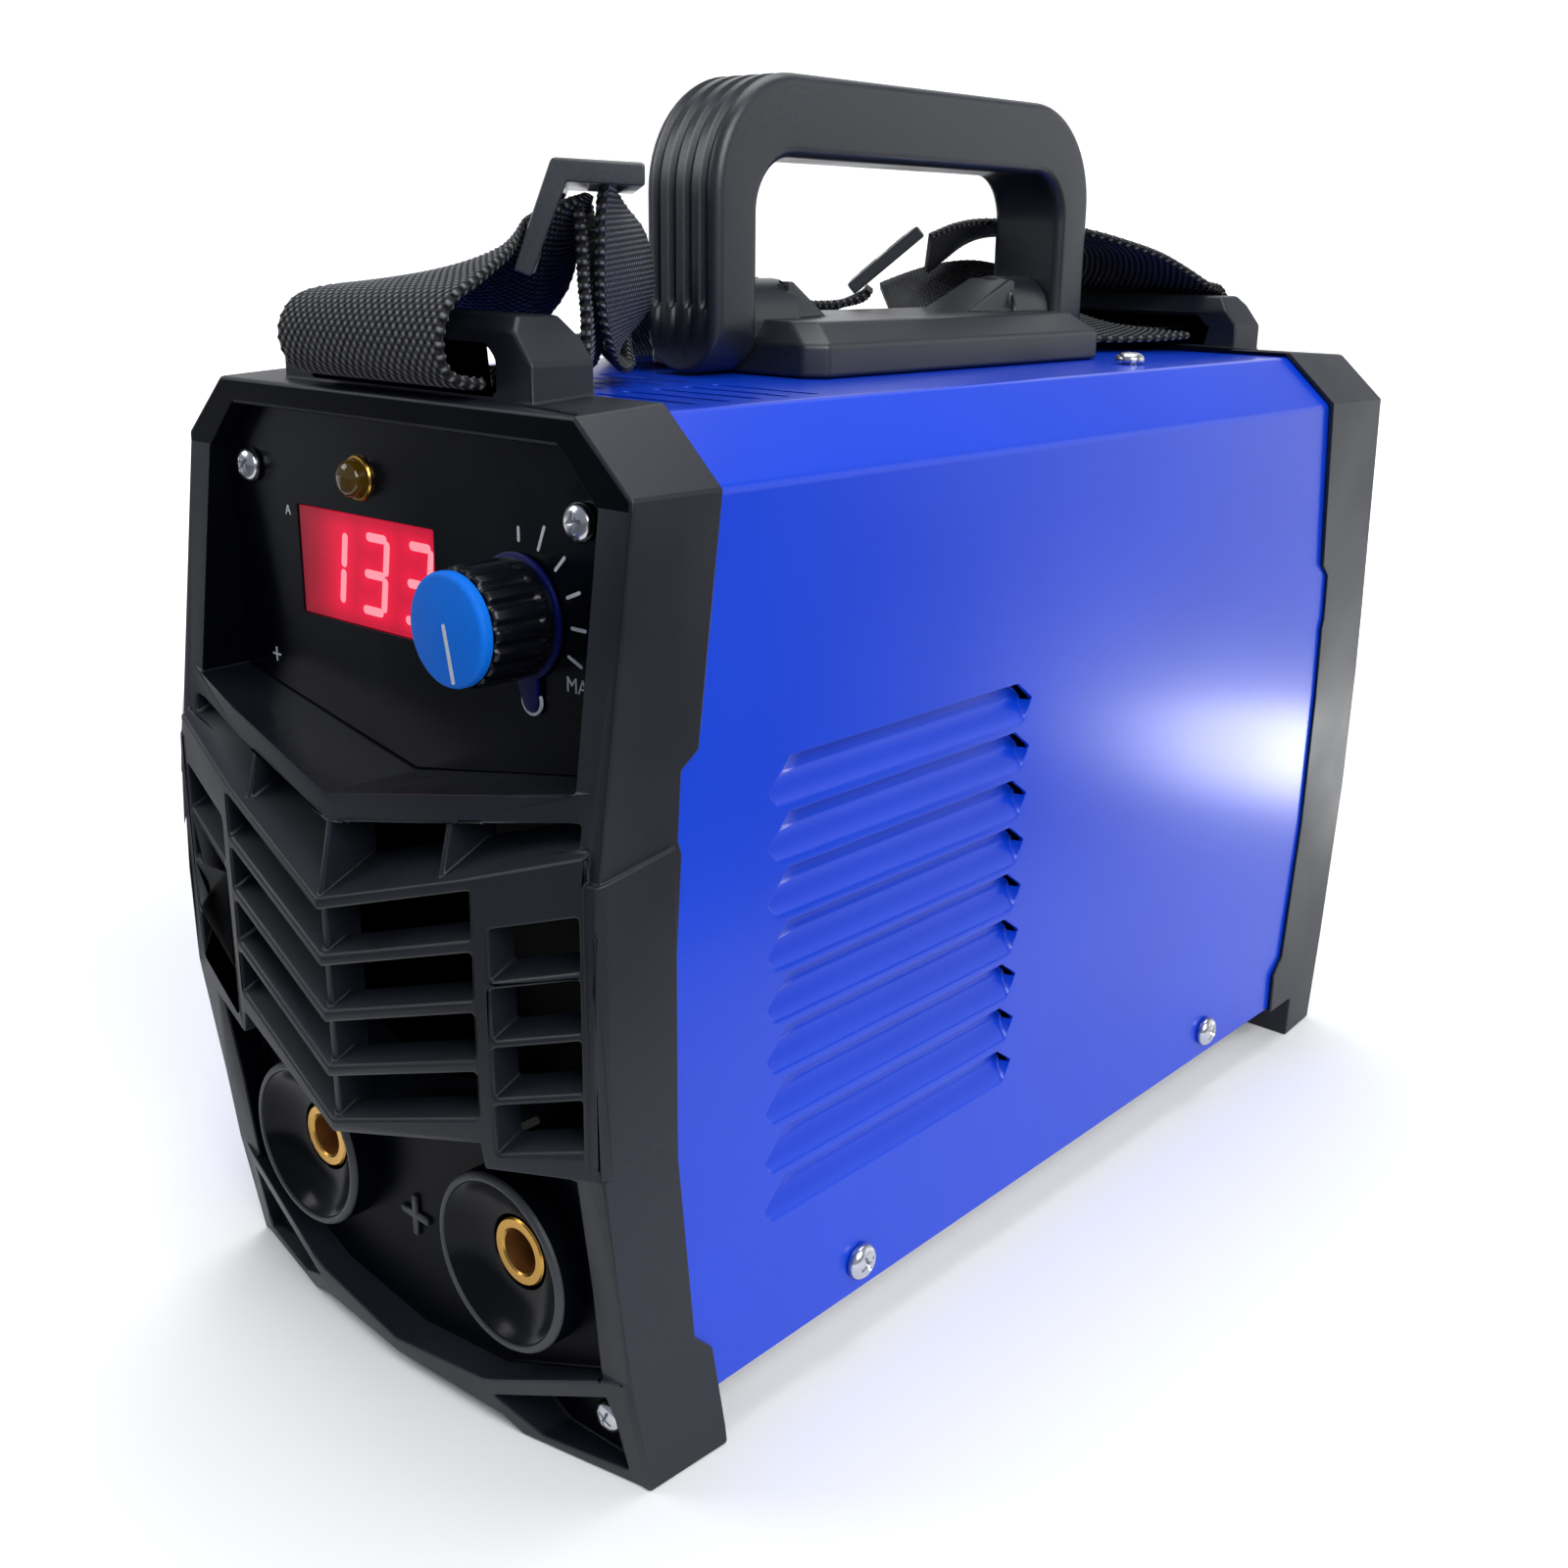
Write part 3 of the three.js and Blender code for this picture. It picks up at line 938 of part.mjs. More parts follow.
// power stage on the main board
const deck = BOARD_Z + BOARD_THICK + GAP;
place('main_board', block(-BOARD_HALF, BOARD_HALF, BOARD_FRONT, BOARD_REAR, BOARD_Z, BOARD_Z + BOARD_THICK)
  .subtract(rodZ(1.6, 20, 40, STANDOFF_X, BOARD_FRONT + 7, 10)), BOARD_GREEN());
place('switch_heatsink', fins(-SINK_OUTER, -SWITCH_SINK_INNER, SINK_FRONT, SWITCH_SINK_REAR, deck,
  deck + SWITCH_SINK_TALL, 9), ALUMINIUM());
place('rectifier_heatsink', mirrorX(fins(-SINK_OUTER, -RECTIFIER_SINK_INNER, SINK_FRONT, RECTIFIER_SINK_REAR, deck,
  deck + RECTIFIER_SINK_TALL, 8)), ALUMINIUM());

// E-shaped core with two windows, and the winding round its middle leg
const windowLow = deck + CORE_YOKE;
const windowTop = deck + CORE_TALL - CORE_YOKE;
const windowSpan = (x) => block(x, x + CORE_WINDOW, CORE_FRONT - 1, CORE_REAR + 1, windowLow, windowTop);
place('transformer_core', block(CORE_LEFT, CORE_RIGHT, CORE_FRONT, CORE_REAR, deck, deck + CORE_TALL)
  .subtract(windowSpan(CORE_LEFT + CORE_LEG))
  .subtract(windowSpan(CORE_RIGHT - CORE_LEG - CORE_WINDOW)), finish(0x3a3c40, 0.6));
const coilLeft = CORE_LEFT + CORE_LEG + GAP + 0.1;
const coilRight = CORE_RIGHT - CORE_LEG - GAP - 0.1;
const middleLeg = [CORE_LEFT + CORE_LEG + CORE_WINDOW - 0.4, CORE_RIGHT - CORE_LEG - CORE_WINDOW + 0.4];
const coil = (y0, y1) => block(coilLeft, coilRight, y0, y1, windowLow + GAP, windowTop - GAP);
place('transformer_winding', coil(CORE_FRONT - 4, CORE_REAR + 4)
  .subtract(block(...middleLeg, CORE_FRONT - 12, CORE_REAR + 16, windowLow - 4, windowTop + 5))
  .add(coil(CORE_FRONT - 4, CORE_FRONT - 0.4))
  .add(coil(CORE_REAR + 0.4, CORE_REAR + 4)), finish(0xa8703c, 0.5));

for (let i = 0; i < 3; i += 1) {
  const x = (i - 1) * CAPACITOR_PITCH;
  const rim = deck + CAPACITOR_TALL - 1;
  place(`capacitor_${i + 1}`, rodZ(CAPACITOR_R, deck, rim, x, CAPACITOR_Y, 24)
    .add(rodZ(CAPACITOR_R, rim - 0.1, rim + 1, x, CAPACITOR_Y, 24, CAPACITOR_R - 1.5)), finish(0x23242c, 0.4));
}
const chokeRing = new THREE.TorusGeometry(CHOKE_R, CHOKE_THICK, 10, 24).rotateX(Math.PI / 2)
  .translate(CHOKE_X, CHOKE_Y, deck + CHOKE_R + CHOKE_THICK + 0.5);
place('output_choke', toSolid(chokeRing)
  .add(block(CHOKE_X - 8, CHOKE_X + 8, CHOKE_Y - 2, CHOKE_Y + 2, deck, deck + CHOKE_THICK + 3.5)),
finish(0xc8a83c, 0.5));
place('bridge_rectifier', block(10, 38, 50, 60, deck, deck + 28), BLACK());

// fan, guard, switch and gland in the rear bezel
place('fan_frame', fanFrame(), BLACK());
place('fan_rotor', fanRotor(), BLACK());
place('fan_guard', fanGuard(), BLACK());

const switchFace = REAR_FLOOR + GAP;
const housing = block(SWITCH_X - 13, SWITCH_X + 13, switchFace, switchFace + 2, SWITCH_Z - 16.5, SWITCH_Z + 16.5)
  .add(block(SWITCH_X - 10.6, SWITCH_X + 10.6, REAR_FLOOR - 22, switchFace + 0.1, SWITCH_Z - 13.6, SWITCH_Z + 13.6))
  .subtract(block(SWITCH_X - 8.4, SWITCH_X + 8.4, REAR_FLOOR - 9, switchFace + 5, SWITCH_Z - 12.2, SWITCH_Z + 12.2));
place('switch_housing', housing, BLACK());
const pivotY = REAR_FLOOR - 1.5;
const ROCKER_TILT = 0.14;
const rockerShape = outline([[-5, 0], [-1, -10.2], [3.4, -11], [4.4, 0], [3.4, 11], [-1, 10.2]]);
const rocker = prismX(rockerShape, -8, 8).rotate([(ROCKER_TILT * 180) / Math.PI, 0, 0])
  .translate([SWITCH_X, pivotY, SWITCH_Z]);
place('switch_rocker', rocker, finish(0xb01018, 0.35));

const glandFlange = rodY(GLAND_R + 1.5, REAR_FLOOR + GAP, REAR_FLOOR + 6, GLAND_X, GLAND_Z, 6)
  .add(rodY(7.6, REAR_FLOOR - 10, REAR_FLOOR + 10, GLAND_X, GLAND_Z, 24))
  .subtract(rodY(4.6, 100, 200, GLAND_X, GLAND_Z, 20));
place('gland_body', glandFlange, BLACK());
const nutRear = REAR_FLOOR - BEZEL_WALL - GAP;
place('gland_locknut', rodY(GLAND_R, nutRear - 4.5, nutRear, GLAND_X, GLAND_Z, 6)
  .subtract(rodY(7.9, 100, 200, GLAND_X, GLAND_Z, 24)), BLACK());
const capStart = REAR_FLOOR + 6 + GAP;
place('gland_cap', rodY(GLAND_R, capStart, capStart + 7, GLAND_X, GLAND_Z, 20)
  .add(rodY(GLAND_R, capStart + 6.9, capStart + 12, GLAND_X, GLAND_Z, 20, 7))
  .subtract(rodY(7.9, capStart - 1, capStart + 4.4, GLAND_X, GLAND_Z, 24))
  .subtract(rodY(4.2, 100, 200, GLAND_X, GLAND_Z, 20)), BLACK());

// handle, its plinth and its two hinge pins
place('handle_base', handleBase(), CHARCOAL());
place('handle', handleBody(), CHARCOAL());
const pinIn = BARREL_LONG - 4;
place('hinge_pin_front', rodY(PIN_R, HANDLE_FRONT + 4.4, HANDLE_FRONT + LEG_THICK + pinIn, 0, HINGE_Z, 16), STEEL());
place('hinge_pin_rear', rodY(PIN_R, HANDLE_REAR - LEG_THICK - pinIn, HANDLE_REAR - 4.4, 0, HINGE_Z, 16), STEEL());

// shoulder strap in three stretches, and the two sliders
place('strap_front', band(FRONT_NEAR, FRONT_FAR, 28), WEBBING());
place('strap_side', band(SIDE_NEAR, SIDE_FAR, 36), WEBBING());
place('strap_rear', band(REAR_NEAR, REAR_FAR, 44), WEBBING());
place('strap_slider_front', sliderFront(), BLACK());
place('strap_slider_rear', sliderRear(), BLACK());

// screws
const atSide = (side, y) => screw(4, 2.6, 2, 9).rotate([0, side * 90, 0]).translate([side * (COVER_HALF + GAP), y,
  SIDE_SCREW_Z]);
SIDE_SCREW_Y.forEach((y, i) => {
  const where = i === 0 ? 'front' : 'rear';
  place(`side_screw_right_${where}`, atSide(1, y), STEEL());
  place(`side_screw_left_${where}`, atSide(-1, y), STEEL());
});
for (const [name, side] of [['left', -1], ['right', 1]]) {
  place(`top_screw_${name}`, screw(3.6, 2.6, 1.9, 8).translate([side * TOP_SCREW_X, TOP_SCREW_Y, COVER_TOP + GAP]),
    STEEL());
  const forward = screw(3.4, 2.4, 1.5, 8).rotate([90, 0, 0]);
  place(`panel_screw_${name}`, forward.translate([side * PANEL_SCREW_X, PANEL_FACE - GAP, PANEL_SCREW_Z]),
    STEEL());
  place(`foot_screw_${name}`, forward.translate([side * FOOT_SCREW_X, FOOT_SCREW_FACE - GAP, FOOT_SCREW_Z]),
    STEEL());
}

// the origin is the middle of the whole object's footprint
const bounds = new THREE.Box3().setFromObject(group);
const middle = bounds.getCenter(new THREE.Vector3());
group.position.set(-middle.x, -middle.y, -bounds.min.z);

export default group;
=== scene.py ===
# %% [markdown]
# # A stick-welding inverter for the workshop shelf
# A royal-blue steel cover sits between two moulded bezels, with a folding handle and a shoulder strap on
# top. The construction comes ready made: every solid is at its real size and place, on the body that moves
# it. This lesson dresses it. Each step first says what the piece is on the real machine, and how it is made
# here.

# %% Load the frame
import json
import math
import bmesh
import bpy
from mathutils import Matrix, Vector
from mathutils.bvhtree import BVHTree


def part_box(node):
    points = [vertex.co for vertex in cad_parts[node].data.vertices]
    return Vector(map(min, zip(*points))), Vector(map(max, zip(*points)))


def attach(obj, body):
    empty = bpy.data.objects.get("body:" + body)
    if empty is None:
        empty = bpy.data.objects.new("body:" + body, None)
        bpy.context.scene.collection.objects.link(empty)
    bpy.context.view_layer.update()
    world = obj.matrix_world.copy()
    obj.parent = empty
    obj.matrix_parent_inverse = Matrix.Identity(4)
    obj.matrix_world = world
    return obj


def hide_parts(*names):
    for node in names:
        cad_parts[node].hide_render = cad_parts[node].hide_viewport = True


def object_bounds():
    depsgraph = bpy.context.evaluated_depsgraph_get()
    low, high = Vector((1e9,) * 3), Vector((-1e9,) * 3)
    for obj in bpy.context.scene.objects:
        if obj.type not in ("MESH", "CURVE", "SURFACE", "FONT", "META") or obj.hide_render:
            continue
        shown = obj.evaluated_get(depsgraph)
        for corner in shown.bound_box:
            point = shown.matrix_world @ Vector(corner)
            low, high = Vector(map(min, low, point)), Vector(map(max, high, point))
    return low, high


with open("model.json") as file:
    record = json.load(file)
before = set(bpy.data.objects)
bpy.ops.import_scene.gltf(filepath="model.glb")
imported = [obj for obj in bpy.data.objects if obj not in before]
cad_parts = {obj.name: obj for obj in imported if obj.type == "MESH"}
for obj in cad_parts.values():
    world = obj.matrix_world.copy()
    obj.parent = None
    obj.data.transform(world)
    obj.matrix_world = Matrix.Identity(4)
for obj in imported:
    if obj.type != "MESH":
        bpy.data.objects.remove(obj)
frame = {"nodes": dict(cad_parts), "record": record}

solid_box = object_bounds()

# %% [markdown]
# ## Units, colours and nodes
# Blender counts in metres, and the machine is drawn in millimetres, so one factor turns one into the other.
# Colours are written as the sRGB hex values that a paint chart or a photograph gives, and the shader wants
# them linear. Every material is a small graph, and a single function adds a node to it, with its settings
# and with what feeds its sockets.

# %% Helpers for colours and nodes
MM = 0.001


def linear(hex_code):
    """An sRGB hex colour as the linear RGBA that a shader socket takes."""
    parts = [int(hex_code[i:i + 2], 16) / 255 for i in (1, 3, 5)]
    return [p / 12.92 if p <= 0.04045 else ((p + 0.055) / 1.055) ** 2.4 for p in parts] + [1.0]


def add(tree, kind, sockets=None, **settings):
    """Adds a node. Sockets are named or numbered, and take a value or another node's output."""
    made = tree.nodes.new(kind)
    for name, value in settings.items():
        setattr(made, name, value)
    for name, value in (sockets or {}).items():
        if isinstance(value, bpy.types.NodeSocket):
            tree.links.new(value, made.inputs[name])
        else:
            made.inputs[name].default_value = value
    return made


def new_finish(name):
    """An empty material and its node tree."""
    made = bpy.data.materials.new(name)
    made.use_nodes = True
    made.node_tree.nodes.clear()
    return made, made.node_tree


def every(size):
    """Noise scale, per metre, for a pattern that repeats about every size millimetres."""
    return 1 / (size * MM)


# %% [markdown]
# ## Camera
# The photograph looks at the machine from the front right, a little above its top, from less than half a
# metre away: the nose is large and the rear runs away fast. The place, the turn and the lens below are
# those of a pinhole camera that puts the machine's corners where the picture has them.

# %% Camera
CAMERA_PLACE = (255.7, -317.2, 224.6)
CAMERA_TURN = (72.736, -0.858, 41.653)
LENS, SENSOR = 38.67, 36
SHIFT = (-0.0033, -0.0128)
NEAREST_SEEN = 10

camera = bpy.data.objects.new("camera", bpy.data.cameras.new("camera"))
bpy.context.collection.objects.link(camera)
camera.location = Vector(CAMERA_PLACE) * MM
camera.rotation_euler = [math.radians(a) for a in CAMERA_TURN]
camera.data.lens = LENS
camera.data.sensor_width = SENSOR
camera.data.shift_x, camera.data.shift_y = SHIFT
camera.data.clip_start = NEAREST_SEEN * MM
bpy.context.scene.camera = camera
middle = (Vector(solid_box[0]) + Vector(solid_box[1])) / 2
print("camera stands", round((camera.location - middle).length, 3), "m from the machine's middle")

# %% [markdown]
# ## Floor and light
# A product picture is taken on a sheet of white paper that widens from the lens to a white wall, in a room
# that is otherwise dim. The glossy paint and the plastic mirror the dim room in front and at the sides, and
# only what faces upwards mirrors the white wall. So the paper is a mask on the floor, a wedge in plan, and
# the sky is white in the same sector. Behind the machine the paper climbs into the lit wall, so there it
# glows. A window on the right brightens the low sky there, and the sides of the handle. One spot of the
# floor, right of the machine and outside the picture, is lit hard: the cover mirrors it as the glare at its
# rear end. The lamps are soft boxes: one above, one in front on the right, and one on the left for the
# edges.

# %% Floor
FLOOR_HALF = 3.0
AHEAD = Vector((-math.sin(math.radians(CAMERA_TURN[2])), math.cos(math.radians(CAMERA_TURN[2])), 0))
ASIDE = Vector((AHEAD.y, -AHEAD.x, 0))
# metres ahead of the lens: the least that counts, the fade of the dim floor, and the fade of the wall's glow
LEAST_AHEAD, DIM_UNTIL, PALE_FROM, GLOW_FROM, GLOW_FULL = 0.02, 0.44, 0.62, 0.5, 1.3
# metres aside for each metre ahead: the paper ends at the first, and the floor is quite dim at the second
PAPER_HALF, ROOM_HALF = 0.62, 0.95
PAPER_WHITE, FLOOR_GREY = "#f8f8f8", "#5c5e62"
# the lit spot: its place, how far from there it starts and is full, and how strongly it glows
GLARE_SPOT, GLARE_RIM, GLARE_CORE, GLARE_POWER = (0.212, 0.405, 0), 0.12, 0.03, 13.0

bpy.context.scene.view_settings.view_transform = "Standard"
floor_data = bpy.data.meshes.new("floor")
corners = [(x * FLOOR_HALF, y * FLOOR_HALF, 0) for x, y in ((-1, -1), (1, -1), (1, 1), (-1, 1))]
floor_data.from_pydata(corners, [], [(0, 1, 2, 3)])
floor = bpy.data.objects.new("floor", floor_data)
bpy.context.collection.objects.link(floor)

floor_finish, tree = new_finish("white_paper_and_floor")
where = add(tree, "ShaderNodeTexCoord")
from_lens = add(tree, "ShaderNodeVectorMath", {0: where.outputs["Object"], 1: camera.location},
                operation="SUBTRACT")
far = add(tree, "ShaderNodeVectorMath", {0: from_lens.outputs[0], 1: AHEAD}, operation="DOT_PRODUCT")
far = add(tree, "ShaderNodeMath", {0: far.outputs["Value"], 1: LEAST_AHEAD}, operation="MAXIMUM")
off = add(tree, "ShaderNodeVectorMath", {0: from_lens.outputs[0], 1: ASIDE}, operation="DOT_PRODUCT")
off = add(tree, "ShaderNodeMath", {0: off.outputs["Value"]}, operation="ABSOLUTE")
spread = add(tree, "ShaderNodeMath", {0: off.outputs[0], 1: far.outputs[0]}, operation="DIVIDE")
beside = add(tree, "ShaderNodeMapRange", {"Value": spread.outputs[0], "From Min": PAPER_HALF,
                                          "From Max": ROOM_HALF}, interpolation_type="SMOOTHSTEP")
near = add(tree, "ShaderNodeMapRange", {"Value": far.outputs[0], "From Min": PALE_FROM,
                                        "From Max": DIM_UNTIL}, interpolation_type="SMOOTHSTEP")
dim = add(tree, "ShaderNodeMath", {0: beside.outputs[0], 1: near.outputs[0]}, operation="MULTIPLY")
tone = add(tree, "ShaderNodeMix", {0: dim.outputs[0], 6: linear(PAPER_WHITE), 7: linear(FLOOR_GREY)},
           data_type="RGBA")
lit = add(tree, "ShaderNodeMapRange", {"Value": far.outputs[0], "From Min": GLOW_FROM, "From Max": GLOW_FULL},
          interpolation_type="SMOOTHSTEP")
from_spot = add(tree, "ShaderNodeVectorMath", {0: where.outputs["Object"], 1: GLARE_SPOT},
                operation="DISTANCE")
spot = add(tree, "ShaderNodeMapRange", {"Value": from_spot.outputs["Value"], "From Min": GLARE_RIM,
                                        "From Max": GLARE_CORE, "To Max": GLARE_POWER},
           interpolation_type="SMOOTHSTEP")
strength = add(tree, "ShaderNodeMath", {0: lit.outputs[0], 1: spot.outputs[0]}, operation="ADD")
shader = add(tree, "ShaderNodeBsdfPrincipled", {
    "Base Color": tone.outputs[2], "Roughness": 0.8, "Specular IOR Level": 0.2,
    "Emission Color": tone.outputs[2], "Emission Strength": strength.outputs[0]})
add(tree, "ShaderNodeOutputMaterial", {"Surface": shader.outputs["BSDF"]})
floor_data.materials.append(floor_finish)
print("floor of", 2 * FLOOR_HALF, "m, white up to", PAPER_HALF, "m aside for each metre ahead")

# %% Sky
WINDOW = Vector((0.62, 0.77, 0.12)).normalized()
# how nearly a view faces the wall or the window, as a cosine, where each starts and where it is white
WALL_FADE, WINDOW_FADE = (0.62, 0.84), (0.8, 0.97)
DIM_SKY, WHITE_SKY = (0.27, 0.29, 0.34, 1), (1.25, 1.25, 1.26, 1)

world = bpy.data.worlds.new("studio")
bpy.context.scene.world = world
world.use_nodes = True
sky = world.node_tree
sky.nodes.clear()
where = add(sky, "ShaderNodeTexCoord")
fades = []
for way, (starts, full) in ((AHEAD, WALL_FADE), (WINDOW, WINDOW_FADE)):
    facing = add(sky, "ShaderNodeVectorMath", {0: where.outputs["Generated"], 1: way},
                 operation="DOT_PRODUCT")
    fades.append(add(sky, "ShaderNodeMapRange", {"Value": facing.outputs["Value"], "From Min": starts,
                                                 "From Max": full}, interpolation_type="SMOOTHSTEP"))
white = add(sky, "ShaderNodeMath", {0: fades[0].outputs[0], 1: fades[1].outputs[0]}, operation="MAXIMUM")
tone = add(sky, "ShaderNodeMix", {0: white.outputs[0], 6: DIM_SKY, 7: WHITE_SKY}, data_type="RGBA")
back = add(sky, "ShaderNodeBackground", {"Color": tone.outputs[2]})
add(sky, "ShaderNodeOutputWorld", {"Surface": back.outputs[0]})
print("sky:", len(sky.nodes), "nodes")


# %% Soft boxes
def soft_box(name, place, aim, side, watts):
    """A square lamp at a place, facing a point, in millimetres."""
    lamp = bpy.data.lights.new(name, "AREA")
    lamp.shape = "SQUARE"
    lamp.size, lamp.energy = side * MM, watts
    holder = bpy.data.objects.new(name, lamp)
    bpy.context.collection.objects.link(holder)
    holder.location = Vector(place) * MM
    holder.rotation_euler = (Vector(aim) - Vector(place)).to_track_quat("-Z", "Y").to_euler()
    print(name, "gives", watts, "W over", side, "mm square")


soft_box("top_box", place=(-100, 250, 1300), aim=(0, 0, 150), side=900, watts=9)
soft_box("key_box", place=(950, -350, 800), aim=(0, 0, 120), side=700, watts=12)
soft_box("left_box", place=(-700, -650, 700), aim=(0, -120, 100), side=500, watts=3)

# %% [markdown]
# ## Moulded ABS, and other grained skins
# Both bezels, the handle and its plinth are injection-moulded ABS, dark grey, from a spark-eroded mould.
# That texture spreads a highlight into a dull sheen and leaves fine grain. The noise below is the grain,
# drawn at 0.45 mm, about twice the real size, so that it shows from where the camera stands. A second, slow
# noise makes the sheen uneven, as handling does. A polished mould leaves the same plastic smooth, which is
# the same graph with shallow grain. Ink, foam, ferrite and the lacquer of a board are opaque and grained as
# well, so they share it too.

# %% Moulded ABS
HANDLING_PATCH = 38


def grained_skin(name, dark, pale, roughness, grain=0.45, depth=0.03, mirror=0.5):
    """An opaque skin between two tones. Its grain and the grain's depth are in millimetres."""
    made, tree = new_finish(name)
    where = add(tree, "ShaderNodeTexCoord")
    fine = add(tree, "ShaderNodeTexNoise", {"Vector": where.outputs["Object"], "Scale": every(grain),
                                            "Detail": 3.0, "Roughness": 0.6})
    slow = add(tree, "ShaderNodeTexNoise", {"Vector": where.outputs["Object"],
                                            "Scale": every(HANDLING_PATCH), "Detail": 4.0})
    mixed = add(tree, "ShaderNodeMath", {0: fine.outputs["Fac"], 1: slow.outputs["Fac"]},
                operation="MULTIPLY")
    tone = add(tree, "ShaderNodeMapRange", {"Value": mixed.outputs[0], "From Min": 0.12, "From Max": 0.4})
    colour = add(tree, "ShaderNodeMix", {0: tone.outputs[0], 6: linear(dark), 7: linear(pale)},
                 data_type="RGBA")
    sheen = add(tree, "ShaderNodeMapRange", {"Value": slow.outputs["Fac"], "From Min": 0.3, "From Max": 0.7,
                                             "To Min": roughness - 0.06, "To Max": roughness + 0.08})
    bump = add(tree, "ShaderNodeBump", {"Height": fine.outputs["Fac"], "Strength": 0.35,
                                        "Distance": depth * MM})
    shader = add(tree, "ShaderNodeBsdfPrincipled", {
        "Base Color": colour.outputs[2], "Roughness": sheen.outputs[0], "IOR": 1.5,
        "Specular IOR Level": mirror, "Normal": bump.outputs[0]})
    add(tree, "ShaderNodeOutputMaterial", {"Surface": shader.outputs["BSDF"]})
    return made


# spark-eroded: a broad, dull sheen along the edges, and grain where the light grazes
BEZEL_ABS = grained_skin("moulded_abs_charcoal", "#0b0f16", "#171c26", 0.46, mirror=0.4)
HANDLE_ABS = grained_skin("moulded_abs_handle", "#171a1e", "#272b31", 0.36, grain=0.6)
SMALL_ABS = grained_skin("moulded_abs_black", "#121417", "#202429", 0.38)
SLIDER_ABS = grained_skin("moulded_abs_slider", "#2c2f34", "#3e4247", 0.3)
SOCKET_RIM = grained_skin("moulded_abs_grey_rim", "#25282c", "#33373c", 0.5)

# fine-moulded: an even, strong colour under a soft sheen
BLUE_CAP = grained_skin("moulded_abs_blue", "#0866d2", "#0c70de", 0.5, grain=0.4, depth=0.002, mirror=0.12)
BASE_BLUE = grained_skin("moulded_abs_navy", "#030a3c", "#07135c", 0.3, depth=0.004, mirror=0.3)
ROCKER_RED = grained_skin("moulded_abs_red", "#8e0a12", "#b81420", 0.28, depth=0.006)

# polished: a deep black that takes small, sharp lights
SOCKET_BOWL = grained_skin("polished_abs_black", "#020308", "#05070c", 0.2, grain=0.5, depth=0.006,
                           mirror=0.16)
LEDGE_ABS = grained_skin("polished_abs_ledge", "#0a0c12", "#14171e", 0.22, grain=0.5, depth=0.004)
KNOB_ABS = grained_skin("polished_abs_knob", "#04050a", "#0a0c14", 0.24, depth=0.004, mirror=0.3)
# painted shade for a recess: a darker tone whose polish mirrors next to nothing, since deep inside a recess
# hardly any light comes back
RECESS_SHADE_ABS = grained_skin("polished_abs_recess", "#020308", "#05070e", 0.34, grain=0.5, depth=0.006,
                          mirror=0.05)
# foam: a rough black mat that spreads a highlight until it is gone, put behind the grille as painted shade
# for the dark inside
SHADE_MAT_FOAM = grained_skin("filter_foam_black", "#010101", "#040405", 0.85, grain=1.1, depth=0.3)
print("materials so far:", len(bpy.data.materials))

# %% [markdown]
# ## Powder-coated steel of the cover
# The cover is 1.2 mm sheet, folded, louvred and powder-coated in a glossy royal blue. Powder flows into a
# faint orange peel of about 2 mm, so mirrored edges wobble a little, and a clear gloss lies over a colour
# that is slightly cloudy.

# %% Powder coat
COLOUR_CLOUD, ORANGE_PEEL, PEEL_DEEP = 60, 2.2, 0.02


def powder_coat(name, deep, bright):
    """Glossy paint in slow clouds between two tones, with orange peel."""
    made, tree = new_finish(name)
    where = add(tree, "ShaderNodeTexCoord")
    cloud = add(tree, "ShaderNodeTexNoise", {"Vector": where.outputs["Object"],
                                             "Scale": every(COLOUR_CLOUD), "Detail": 3.0})
    peel = add(tree, "ShaderNodeTexNoise", {"Vector": where.outputs["Object"],
                                            "Scale": every(ORANGE_PEEL), "Detail": 1.0})
    colour = add(tree, "ShaderNodeMix", {0: cloud.outputs["Fac"], 6: linear(deep), 7: linear(bright)},
                 data_type="RGBA")
    bump = add(tree, "ShaderNodeBump", {"Height": peel.outputs["Fac"], "Strength": 0.12,
                                        "Distance": PEEL_DEEP * MM})
    rough = add(tree, "ShaderNodeMapRange", {"Value": cloud.outputs["Fac"], "To Min": 0.26, "To Max": 0.34})
    shader = add(tree, "ShaderNodeBsdfPrincipled", {
        "Base Color": colour.outputs[2], "Roughness": rough.outputs[0], "IOR": 1.5,
        "Specular IOR Level": 0.25, "Normal": bump.outputs[0], "Coat Weight": 0.22, "Coat Roughness": 0.12})
    add(tree, "ShaderNodeOutputMaterial", {"Surface": shader.outputs["BSDF"]})
    return made


# a saturated blue under a thin gloss, whose highlights have soft, wavy edges
COVER_PAINT = powder_coat("powder_coated_steel_blue", "#0233b8", "#0540cc")
print("orange peel of", ORANGE_PEEL, "mm")

# %% [markdown]
# ## Metals
# Sockets carry machined brass, screws are bright zinc-plated steel, and the boards inside sit among
# extruded aluminium. Turning leaves rings and plating leaves a bloom, both too fine to show from here. What
# does show is that tone and polish vary a little from patch to patch, so that is drawn. A metal keeps the
# default index of refraction, because its colour does that work.

